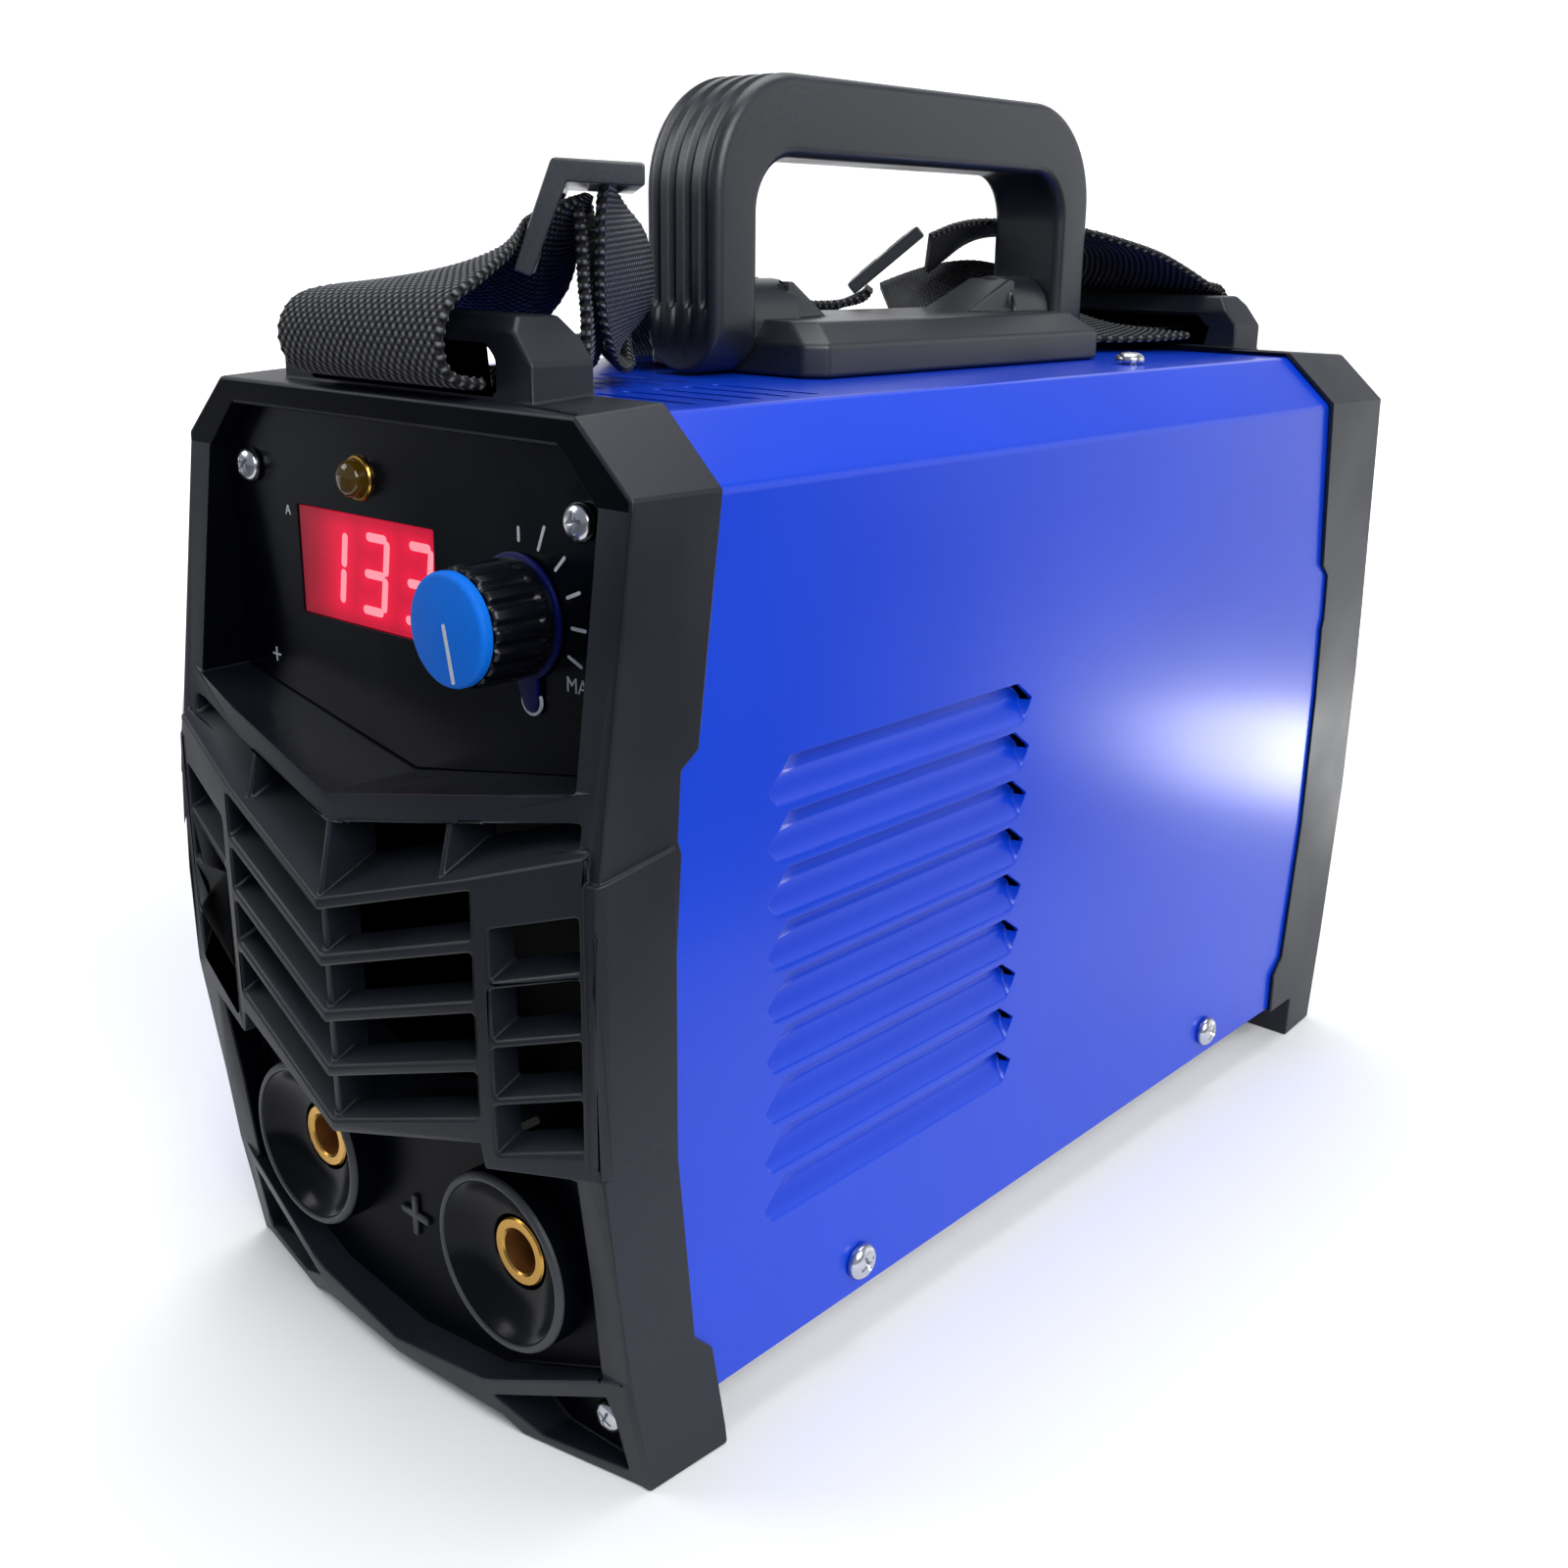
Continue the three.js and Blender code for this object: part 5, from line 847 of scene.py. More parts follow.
def slotted_top(form):
    """Skins the top with its slots, and returns its first and last row, on the shoulders."""
    x, z = (Vector(LOW_FOLD[-1]) * ZIP_FROM + Vector(HIGH_FOLD[0]) * ZIP_TO)
    right = [(x, z)] + HIGH_FOLD
    line = right + [(x, COVER_TOP) for x in TOP_X] + [(-x, z) for x, z in reversed(right)]
    rows = [[form.verts.new(at(x, y, z)) for y in TOP_Y] for x, z in line]
    for (x0, _), (x1, _), low, high in zip(line, line[1:], rows, rows[1:]):
        for j in range(len(TOP_Y) - 1):
            corners = [low[j], low[j + 1], high[j + 1], high[j]]
            middle_x, middle_y = (x0 + x1) / 2, (TOP_Y[j] + TOP_Y[j + 1]) / 2
            slot = [(sx, sy) for sx in SLOTS_X for sy in SLOTS_Y
                    if abs(middle_x - sx) < SLOT_HALF_LONG and abs(middle_y - sy) < SLOT_HALF_WIDE]
            if slot:
                sx, sy = slot[0]
                if abs(middle_x - sx) < INNER_LONG or abs(middle_y - sy) < INNER_WIDE:
                    continue
                corners.remove(min(corners, key=lambda v: (v.co - at(sx, sy, COVER_TOP)).length))
            form.faces.new(corners)
    return rows[0], rows[-1]


def zipped(form, one, other):
    """Triangles between two rows that run the same way with columns of their own."""
    i = j = 0
    while i < len(one) - 1 or j < len(other) - 1:
        if j == len(other) - 1 or (i < len(one) - 1 and one[i + 1].co.y < other[j + 1].co.y):
            form.faces.new((one[i], one[i + 1], other[j]))
            i += 1
        else:
            form.faces.new((one[i], other[j + 1], other[j]))
            j += 1


# %% Cover: the sheet gets its thickness
SHEET_THICK, CUT_EDGE, CUT_ANGLE = 1.2, 0.22, 55

form = bmesh.new()
right_row = louvred_side(form, 1)
left_row = louvred_side(form, -1)
top_right, top_left = slotted_top(form)
zipped(form, right_row, top_right)
zipped(form, top_left, left_row)
bmesh.ops.recalc_face_normals(form, faces=form.faces)
if max(form.faces, key=lambda f: f.calc_center_median().z).normal.z < 0:
    bmesh.ops.reverse_faces(form, faces=form.faces)
sheet = bpy.data.meshes.new("cover")
form.to_mesh(sheet)
form.free()
sheet = with_modifiers(
    sheet, ("SOLIDIFY", {"thickness": SHEET_THICK * MM, "offset": -1}),
    ("BEVEL", {"width": CUT_EDGE * MM, "segments": 2, "limit_method": "ANGLE",
               "angle_limit": math.radians(CUT_ANGLE)}))
made = for_node("cover", evenly_shaded(sheet))
print(made.name, len(made.data.polygons), "faces,", LOUVRES * 2, "louvres")

# %% [markdown]
# ## Handle
# The handle is a moulded arch with four grooves round its outside, soft edges, and lower ends that are
# round about the hinge. It is swept: at each station along the arch there is one row of points on the outer
# surface and one on the inner, and the grooves and edges are how far a point sinks below its surface.

# %% Handle: its section
HANDLE_FRONT, HANDLE_REAR, HANDLE_TOP, GRIP, LEG = -58.0, 80.0, 257.5, 16.5, 13.0
HANDLE_HALF, OUTER_R, INNER_R, HINGE_Z = 10.5, 24.0, 11.0, 208.2
GROOVES_X = (-6.75, -2.25, 2.25, 6.75)
# each distance from a groove's middle with its depth there
GROOVE_SHAPE = [(0, 1.5), (0.4, 1.46), (0.78, 1.15), (1.0, 0.5), (1.3, 0)]
EDGE_R, END_R = 2.4, 1.2
EDGE_ANGLES = (10, 25, 40, 55, 70, 80, 90)

across = sorted({x + side * d for x in GROOVES_X for d, _ in GROOVE_SHAPE for side in (-1, 1)}
                | {side * (HANDLE_HALF - EDGE_R + EDGE_R * math.sin(math.radians(a)))
                   for a in EDGE_ANGLES for side in (-1, 1)} | {0.0})


def groove_deep(x):
    """How deep the grooves are at one place across the handle."""
    off = min(abs(x - g) for g in GROOVES_X)
    for (d0, deep0), (d1, deep1) in zip(GROOVE_SHAPE, GROOVE_SHAPE[1:]):
        if off <= d1 + 1e-6:
            return deep0 + (deep1 - deep0) * (off - d0) / (d1 - d0)
    return 0.0


def sunk(past, radius):
    """How far a rounded edge has sunk at a distance past its start."""
    past = min(radius, max(0.0, past))
    return radius - math.sqrt(radius * radius - past * past)


print("handle section of", len(across), "points")

# %% Handle: its stations
# above this height a leg's rows are level, and below it they gather towards its round foot
LEG_STRAIGHT = 210.5
FOOT_SHARES = (0, 0.015, 0.05, 0.1, 0.2, 0.5, 1)
LEG_HEIGHTS = (211.3, 212.2, 213.2, 219, 226)
BEND_STEP, BAR_Y = 6, range(-20, 50, 14)
# the height above the foot that stands for too far to be rounded
OUT_OF_REACH = 99


def leg_rows(outer_y, inner_y, way):
    """Stations up a leg: outer point, inner point, outward direction and height above the foot, at one x."""
    made = []
    for share in FOOT_SHARES:
        def low(x, share=share):
            foot = HINGE_Z - math.sqrt(HANDLE_HALF ** 2 - x * x)
            z = foot + (LEG_STRAIGHT - foot) * share
            return (outer_y, z), (inner_y, z), (way, 0), z - foot
        made.append(low)
    for z in LEG_HEIGHTS:
        made.append(lambda x, z=z: ((outer_y, z), (inner_y, z), (way, 0), OUT_OF_REACH))
    return made


def bend_rows(centre_y, angles):
    """Stations round a bend between a leg and the bar."""
    made = []
    for a in angles:
        c, s = math.cos(math.radians(a)), math.sin(math.radians(a))
        outer = (centre_y + OUTER_R * c, HANDLE_TOP - OUTER_R + OUTER_R * s)
        inner = (centre_y + INNER_R * c, HANDLE_TOP - GRIP - INNER_R + INNER_R * s)
        made.append(lambda x, o=outer, i=inner, n=(c, s): (o, i, n, OUT_OF_REACH))
    return made


def bar_row(y):
    """A station along the bar."""
    return lambda x: ((y, HANDLE_TOP), (y, HANDLE_TOP - GRIP), (0, 1), OUT_OF_REACH)


stations = (leg_rows(HANDLE_FRONT, HANDLE_FRONT + LEG, -1)
            + bend_rows(HANDLE_FRONT + OUTER_R, range(180, 89, -BEND_STEP))
            + [bar_row(y) for y in BAR_Y]
            + bend_rows(HANDLE_REAR - OUTER_R, range(90, -1, -BEND_STEP))
            + list(reversed(leg_rows(HANDLE_REAR, HANDLE_REAR - LEG, 1))))
print("handle stations:", len(stations))

# %% Handle: its skin
GROOVES_FROM, GROOVES_FADE = 209.6, 2.8

form = bmesh.new()
outer_rows, inner_rows = [], []
for station in stations:
    outer_row, inner_row = [], []
    for x in across:
        (oy, oz), (iy, iz), (ny, nz), above = station(x)
        edge = sunk(abs(x) - (HANDLE_HALF - EDGE_R), EDGE_R) + sunk(END_R - above, END_R)
        deep = edge + groove_deep(x) * ease((oz - GROOVES_FROM) / GROOVES_FADE)
        outer_row.append(form.verts.new(at(x, oy - ny * deep, oz - nz * deep)))
        inner_row.append(form.verts.new(at(x, iy + ny * edge, iz + nz * edge)))
    outer_rows.append(outer_row)
    inner_rows.append(inner_row)
skinned(form, outer_rows)
skinned(form, inner_rows)
for end in (0, -1):
    skinned(form, [[row[end] for row in outer_rows], [row[end] for row in inner_rows]])
    skinned(form, [outer_rows[end], inner_rows[end]])
made = for_node("handle", from_form(form, "handle"), smooth=40)
print(made.name, len(made.data.polygons), "faces from", len(stations), "stations")

# %% [markdown]
# ## Current knob
# A black fluted knob with a flat blue cap, on a dark blue base whose tip points at the scale. The flutes
# are part of each ring of points: where a flute runs, the radius is a little less. The white line on the
# cap is print, and lies the same way as the tip, whose edge is white too.

# %% Knob: the fluted body and its cap
KNOB_CENTRE, KNOB_STANDS_OFF = (32.5, 162.0), 1
FLUTES, POINTS_A_FLUTE, FLUTE_DEEP, FLUTE_FULLNESS = 18, 10, 0.75, 0.7
# each ring's distance from the knob's foot, its radius, and its share of the flutes' depth
KNOB_RINGS = [(0, 9.8, 0), (0.3, 10.4, 0), (2.3, 10.6, 0), (2.9, 10.6, 0.6), (3.4, 10.6, 1), (7.5, 10.5, 1),
              (11.7, 10.4, 1), (12.2, 10.2, 0.9), (12.5, 9.9, 0.7), (12.5, 8.6, 0), (12.5, 3, 0)]
# how far in front of the plate the cap's back lies
CAP_BACK = 13.8
CAP_PROFILE = [(0, 0), (9.5, 0), (9.8, 0.2), (9.9, 0.6), (9.9, 1.7), (9.75, 2.1), (9.4, 2.4), (8.9, 2.55),
               (0, 2.6)]


def round_from(centre, radius, angle):
    """A point of the panel's plane at a radius and an angle from straight up, round a centre."""
    return centre[0] + radius * math.sin(angle), centre[1] + radius * math.cos(angle)


form = bmesh.new()
rows = []
for reach, radius, share in KNOB_RINGS:
    ring = []
    for i in range(FLUTES * POINTS_A_FLUTE):
        phase = (i % POINTS_A_FLUTE) / POINTS_A_FLUTE
        groove = max(0.0, math.cos(2 * math.pi * phase)) ** FLUTE_FULLNESS * FLUTE_DEEP * share
        x, z = round_from(KNOB_CENTRE, radius - groove, 2 * math.pi * i / (FLUTES * POINTS_A_FLUTE))
        ring.append(form.verts.new(at(x, PANEL_FACE - KNOB_STANDS_OFF - reach, z)))
    rows.append(ring)
skinned(form, rows, closed=True)
form.faces.new(rows[0])
form.faces.new(rows[-1])
for_node("knob_body", from_form(form, "knob_body"))

cap_centre = at(KNOB_CENTRE[0], PANEL_FACE - CAP_BACK, KNOB_CENTRE[1])
for_node("knob_cap", turned(CAP_PROFILE, cap_centre, "knob_cap", sides=96))
print("knob of", FLUTES, "flutes")

# %% Knob: the pointer line, the base and its tip
POINTS_AT = math.radians(168)
# a value that ends in FACE is how far in front of the plate a piece's front lies
LINE_FROM, LINE_TO, LINE_WIDE, LINE_FACE, LINE_THICK = -0.8, 8.6, 0.85, 16.46, 0.1
BASE_R, BASE_FACE, BASE_THICK = 11.3, 1.2, 0.9
TIP_REACH, TIP_R, TIP_TURN = 14.6, 2.1, 84
EDGE_FACE, EDGE_THICK, EDGE_INNER, EDGE_OUTER, EDGE_TURN = 0.9, 0.5, 2.2, 2.75, 105

line = capsule(round_from(KNOB_CENTRE, LINE_FROM, POINTS_AT), round_from(KNOB_CENTRE, LINE_TO, POINTS_AT),
               LINE_WIDE)
line = slabs([line], PANEL_FACE - LINE_FACE, LINE_THICK, "knob_pointer_line")
piece("knob_pointer_line", line, PRINT, "current_knob", smooth=30)

disc = [round_from(KNOB_CENTRE, BASE_R, POINTS_AT + math.radians(a)) for a in range(14, 347, 4)]
tip_centre = round_from(KNOB_CENTRE, TIP_REACH, POINTS_AT)
tip = [round_from(tip_centre, TIP_R, POINTS_AT + math.radians(a)) for a in range(-TIP_TURN, TIP_TURN + 1, 12)]
base = slabs([disc + tip], PANEL_FACE - BASE_FACE, BASE_THICK, "knob_base", edge=0.25)
piece("knob_base", base, BASE_BLUE, "current_knob")
sweeps = ((EDGE_OUTER, range(-EDGE_TURN, EDGE_TURN + 1, 10)),
          (EDGE_INNER, range(EDGE_TURN, -EDGE_TURN - 1, -10)))
crescent = [round_from(tip_centre, r, POINTS_AT + math.radians(a)) for r, turn in sweeps for a in turn]
crescent = slabs([crescent], PANEL_FACE - EDGE_FACE, EDGE_THICK, "knob_tip_edge", edge=0.12)
piece("knob_tip_edge", crescent, PRINT, "current_knob")
print("knob points", round(math.degrees(POINTS_AT)), "degrees from straight up")

# %% [markdown]
# ## Print on the control plate
# The film carries a scale round the knob, one tick every 22.5 degrees, the words MIN and MAX at its ends,
# the unit beside the display and the sign of the nearer socket. Screen print is a layer about a tenth of a
# millimetre thick, and each mark is such a layer.

# %% Print
PRINT_THICK = 0.08
TICK_STEP, TICK_FROM, TICK_WIDE = 22.5, 13.2, 0.62
TICK_LENGTHS = (2.2, 4.4, 3.4, 3.4, 3.4, 3.4)
# the sign's place, the reach of its arms, a stroke's width, and how far apart its upright strokes start
SIGN_X, SIGN_Z, SIGN_ARM, SIGN_WIDE, SIGN_GAP = -46.0, 142.0, 1.3, 0.4, 0.21
WORD_ASIDE, WORD_Z, WORD_TALL = 15.5, 152.0, 2.7
UNIT_X, UNIT_Z, UNIT_TALL = -38.0, 172.4, 1.9
CAPITALS_SHARE = 0.7

marks = []
for i, length in enumerate(TICK_LENGTHS):
    angle = math.radians(TICK_STEP * i)
    marks.append(capsule(round_from(KNOB_CENTRE, TICK_FROM, angle),
                         round_from(KNOB_CENTRE, TICK_FROM + length, angle), TICK_WIDE, steps=3))
marks += [capsule((SIGN_X - SIGN_ARM, SIGN_Z), (SIGN_X + SIGN_ARM, SIGN_Z), SIGN_WIDE, 3),
          capsule((SIGN_X, SIGN_Z - SIGN_ARM), (SIGN_X, SIGN_Z - SIGN_GAP), SIGN_WIDE, 3),
          capsule((SIGN_X, SIGN_Z + SIGN_GAP), (SIGN_X, SIGN_Z + SIGN_ARM), SIGN_WIDE, 3)]
marks = slabs(marks, PANEL_FACE - PRINT_THICK, PRINT_THICK, "panel_scale")
piece("panel_scale", marks, PRINT, "machine")


def lettering(words, x, z, tall, name):
    """Generic words as thin print: cap height in millimetres, centred at a place of the plate."""
    text = bpy.data.curves.new(name, "FONT")
    text.body, text.align_x, text.align_y = words, "CENTER", "CENTER"
    text.size = tall * MM / CAPITALS_SHARE
    text.extrude = PRINT_THICK * MM / 2
    text.resolution_u = 4
    holder = bpy.data.objects.new("holder", text)
    bpy.context.collection.objects.link(holder)
    graph = bpy.context.evaluated_depsgraph_get()
    data = bpy.data.meshes.new_from_object(holder.evaluated_get(graph))
    bpy.data.objects.remove(holder)
    upright = Matrix.Rotation(math.pi / 2, 4, "X")
    data.transform(Matrix.Translation(at(x, PANEL_FACE - PRINT_THICK / 2, z)) @ upright)
    piece(name, data, PRINT, "machine")


lettering("MIN", KNOB_CENTRE[0] - WORD_ASIDE, WORD_Z, WORD_TALL, "scale_word_min")
lettering("MAX", KNOB_CENTRE[0] + WORD_ASIDE, WORD_Z, WORD_TALL, "scale_word_max")
lettering("A", UNIT_X, UNIT_Z, UNIT_TALL, "display_unit")
print("ticks:", len(TICK_LENGTHS))

# %% [markdown]
# ## Display
# A red filter with three lit digits behind it. The digits lean nine degrees, as in every such module. Each
# segment is a thin bar with round ends. The filter's mesh is opaque, so the digits lie a hair in front of its
# face, which is a fine grid that knows how near the closest segment is.

# %% Display: the digits
DISPLAY_X, DISPLAY_Z, DISPLAY_WIDE, DISPLAY_TALL = -13.2, 163.3, 42.6, 21.1
DIGIT_TALL, DIGIT_WIDE, DIGIT_PITCH, DIGIT_LEAN, SEGMENT = 14.2, 6.8, 13.4, math.radians(9), 1.7
FIRST_DIGIT, DIGITS_DROP = DISPLAY_X - 10.6, 0.1
# a segment ends this share of its width before the corner where two would meet
SEGMENT_TRIM = 0.62
DIGITS_SHOWN = ["bc", "abgcd", "abgcd"]
STROKES = {"a": ((0, 2), (1, 2)), "b": ((1, 2), (1, 1)), "c": ((1, 1), (1, 0)), "d": ((0, 0), (1, 0)),
           "g": ((0, 1), (1, 1))}
LENS_FACE, SEGMENT_PROUD, SEGMENT_THICK, RIGHT_MARGIN = PANEL_FACE + 0.3, 0.06, 0.05, 0.1


def on_digit(place, across, up):
    """A corner of the digit at a place of the row, up to 1 across and 2 up."""
    x = FIRST_DIGIT + place * DIGIT_PITCH + (across - 0.5) * DIGIT_WIDE
    z = (up - 1) * DIGIT_TALL / 2
    return x + z * math.tan(DIGIT_LEAN), DISPLAY_Z - DIGITS_DROP + z


segments = []
for place, lit in enumerate(DIGITS_SHOWN):
    for name in lit:
        start, end = [Vector(on_digit(place, *corner)) for corner in STROKES[name]]
        shorter = (end - start).normalized() * SEGMENT * SEGMENT_TRIM
        segments.append((start + shorter, end - shorter))
right_limit = DISPLAY_X + DISPLAY_WIDE / 2 - RIGHT_MARGIN
lit_lines = [[(min(x, right_limit), z) for x, z in capsule(a, b, SEGMENT)] for a, b in segments]
digits = slabs(lit_lines, LENS_FACE - SEGMENT_PROUD, SEGMENT_THICK, "display_digits")
piece("display_digits", digits, LIT_SEGMENT, "machine")
print("lit segments:", len(segments))

# %% Display: the filter and its halo
COLUMNS, ROWS, FILTER_THICK = 72, 36, 1.5
# the halo: its reach in millimetres, and how much of the light is there without it
HALO_REACH, HALO_FLOOR = 3, 0.55
# the light falls off towards the left, over this share of the width, and along the rim, over some millimetres
LEFT_FADE, LEFT_FLOOR, RIM_FADE, RIM_FLOOR = 0.3, 0.25, 3, 0.72


def from_segment(point, start, end):
    """How far a point of the filter is from the middle line of a segment."""
    along = end - start
    share = min(1, max(0, (point - start).dot(along) / along.length_squared))
    return (point - start - along * share).length


def light_at(point):
    """The light that the filter shows at one point of its face."""
    near = min(from_segment(point, a, b) for a, b in segments)
    from_left = (point.x - (DISPLAY_X - DISPLAY_WIDE / 2)) / DISPLAY_WIDE
    from_rim = min(DISPLAY_TALL / 2 - abs(point.y - DISPLAY_Z), DISPLAY_WIDE / 2 - abs(point.x - DISPLAY_X))
    left = LEFT_FLOOR + (1 - LEFT_FLOOR) * ease(from_left / LEFT_FADE)
    halo = HALO_FLOOR + (1 - HALO_FLOOR) * math.exp(-near / HALO_REACH)
    return left * halo * (RIM_FLOOR + (1 - RIM_FLOOR) * ease(from_rim / RIM_FADE))


form = bmesh.new()
grid = [[form.verts.new(at(DISPLAY_X + (c / COLUMNS - 0.5) * DISPLAY_WIDE, LENS_FACE,
                           DISPLAY_Z + (r / ROWS - 0.5) * DISPLAY_TALL)) for c in range(COLUMNS + 1)]
        for r in range(ROWS + 1)]
skinned(form, grid)
rim = grid[0] + [row[-1] for row in grid[1:]] + grid[-1][-2::-1] + [row[0] for row in grid[-2:0:-1]]
back = [form.verts.new(v.co + Vector((0, FILTER_THICK * MM, 0))) for v in rim]
skinned(form, [rim, back], closed=True)
form.faces.new(back)
lens = from_form(form, "display_window")
glow = lens.attributes.new("glow", "FLOAT", "POINT")
for i, vertex in enumerate(lens.vertices):
    glow.data[i].value = light_at(Vector((vertex.co.x / MM, vertex.co.z / MM)))
for_node("display_window", lens, smooth=30)
print("filter of", COLUMNS * ROWS, "fields")

# %% [markdown]
# ## Power lamp
# A five-millimetre lamp in a gold ring: a short cylinder under a dome, clear amber, unlit, with a faint
# painted glow. Both are turned.

# %% Lamp
LAMP_Z = 181.2
DOME = [(0, -8), (3.5, -8), (3.5, 1.9), (3.42, 2.4), (3.15, 2.95), (2.7, 3.4), (2.1, 3.7), (1.4, 3.9),
        (0.7, 3.98), (0, 4.0)]
LAMP_RING = [(3.52, 0), (4.25, 0), (4.3, 0.35), (4.1, 0.7), (3.75, 0.8), (3.52, 0.6), (3.52, 0)]

lamp_centre = at(DISPLAY_X, PANEL_FACE, LAMP_Z)
for_node("power_lamp", turned(DOME, lamp_centre, "power_lamp", sides=64))
piece("lamp_ring", turned(LAMP_RING, lamp_centre, "lamp_ring", sides=64), BRASS, "machine")
print("lamp ring", 2 * max(radius for radius, _ in LAMP_RING), "mm wide")

# %% [markdown]
# ## Weld sockets
# Each socket is a moulded bowl with a grey flat rim and a polished black inside, round a machined brass
# insert. All of it is turned. The rim is a piece of its own, because its face is duller and paler than the
# bowl. Its outer side lies in the shadow of the well, and wears the recess's painted shade; the insert's bore
# is only drilled, and gets a rougher brass. A moulded plus marks the positive socket.

# %% Sockets
SOCKET_X, SOCKET_Z, SOCKET_FLOOR, INSERT_FACE = 32.3, 38.4, -133.2, -134.6
BOWL = [(11.6, -17.2), (4.6, -17.2), (4.6, -21.2), (13.7, -21.2), (13.7, -0.3), (16.5, -0.3), (16.5, 6.3),
        (16.3, 6.4), (16.0, 6.2), (15.0, 5.0), (13.4, 3.7), (11.4, 2.5), (9.4, 1.6), (8.2, 1.3), (7.8, 1.2),
        (7.6, 0.9), (7.6, 0), (11.6, -0.2), (11.6, -17.2)]
RIM = [(16.5, -0.3), (18.2, -0.3), (18.2, 5.7), (18.05, 6.2), (17.7, 6.6), (17.3, 6.8), (16.9, 6.8),
       (16.6, 6.65), (16.5, 6.3), (16.5, -0.3)]
INSERT = [(0, -34.6), (4.2, -34.6), (4.2, -18.3), (11.2, -18.3), (11.2, -12.6), (7.0, -12.6), (7.0, -0.35),
          (6.65, 0), (5.0, 0), (4.6, -0.35), (4.6, -15), (0, -15)]
# the rim is grey from this height up and painted shade below it, and the insert is rough within this radius
GREY_FROM, BORE_R = 5.9, 4.7

for name, side in (("negative", -1), ("positive", 1)):
    centre = at(side * SOCKET_X, SOCKET_FLOOR, SOCKET_Z)
    for_node(name + "_socket", turned(BOWL, centre, name, sides=96))
    rim = piece(name + "_socket_rim", turned(RIM, centre, name, sides=96), SOCKET_RIM, "machine").data
    # the rim's outer side, below GREY_FROM, wears the recess's painted shade
    rim.materials.append(RECESS_SHADE_ABS)
    for face in rim.polygons:
        face.material_index = int(face.center.y > centre.y - GREY_FROM * MM)
    insert = for_node(name + "_insert", turned(INSERT, at(side * SOCKET_X, INSERT_FACE, SOCKET_Z), name)).data
    insert.materials.append(BORE_BRASS)
    for face in insert.polygons:
        from_axis = math.hypot(face.center.x - centre.x, face.center.z - centre.z)
        face.material_index = int(from_axis < BORE_R * MM)
print("sockets", 2 * SOCKET_X, "mm apart")

# %% Moulded plus
PLUS_X, PLUS_Z, PLUS_ARM, PLUS_BAR, PLUS_FACE, PLUS_THICK = -2.0, 31.5, 4.6, 1.7, 0.9, 1.0
half = PLUS_BAR / 2
# one quarter of the outline, which the other three repeat clockwise
quarter = [(half, half), (PLUS_ARM, half), (PLUS_ARM, -half)]
plus = []
for _ in range(4):
    plus += quarter
    quarter = [(z, -x) for x, z in quarter]
plus = [(PLUS_X + x, PLUS_Z + z) for x, z in plus]
plus = slabs([plus], SOCKET_FLOOR - PLUS_FACE, PLUS_THICK, "moulded_plus", edge=0.35)
piece("moulded_plus", plus, SMALL_ABS, "machine")
print("plus of", 2 * PLUS_ARM, "mm")

# %% [markdown]
# ## Screws
# Ten cross-recess pan-head screws hold the plate, the front feet, the sides and the handle's plinth. The
# head is turned, and a tapered cross is cut from it. One head is made and set at each screw with the size
# of its solid. Nobody lines screws up, so each is turned by an angle of its own.

# %% Screws: one head
HEAD_TALL, HEAD_EASE = 0.68, 0.02
HEAD_PROFILE = [(0, -2.2), (0.44, -2.2), (0.5, -2.1), (0.5, 0), (0.97, 0), (1.0, 0.06), (1.0, 0.24),
                (0.96, 0.36), (0.84, 0.5), (0.66, 0.6), (0.42, 0.66), (0, HEAD_TALL)]
# a groove of the cross, at its bottom and above the head: half its length, half its width, and the height
GROOVE_LOW, GROOVE_TOP = (0.3, 0.07, 0.1), (0.62, 0.1, 0.72)
# the second groove ends a little higher, so that no two faces of the cutter coincide
SECOND_RISE = 0.01


def cross_head():
    """A head of radius 1 and its shank along Z, with the cross cut out."""
    head = turned(HEAD_PROFILE, Vector((0, 0, 0)), "head", axis=(0, 0, 1), sides=48)
    form = bmesh.new()
    for turn in (0, math.pi / 2):
        c, s = math.cos(turn), math.sin(turn)
        rings = []
        for (long, wide, z), rise in ((GROOVE_LOW, 0), (GROOVE_TOP, turn * SECOND_RISE)):
            corners = ((long, wide), (-long, wide), (-long, -wide), (long, -wide))
            rings.append([form.verts.new(Vector((x * c - y * s, x * s + y * c, z + rise)) * MM)
                          for x, y in corners])
        skinned(form, rings, closed=True)
        form.faces.new(rings[0])
        form.faces.new(rings[1])
    cutter = bpy.data.objects.new("cutter", from_form(form, "cutter"))
    bpy.context.collection.objects.link(cutter)
    cut = with_modifiers(head, ("BOOLEAN", {"object": cutter, "operation": "DIFFERENCE", "solver": "EXACT",
                                            "use_self": True}),
                         ("BEVEL", {"width": HEAD_EASE * MM, "segments": 2, "limit_method": "ANGLE",
                                    "angle_limit": math.radians(EASED_ANGLE)}))
    bpy.data.objects.remove(cutter)
    return cut


HEAD = cross_head()
print("screw head of", len(HEAD.polygons), "faces")

# %% Screws: each in its place
SCREW_WAYS = {"side_screw_right": (1, 0, 0), "side_screw_left": (-1, 0, 0), "top_screw": (0, 0, 1),
              "panel_screw": (0, -1, 0), "foot_screw": (0, -1, 0)}
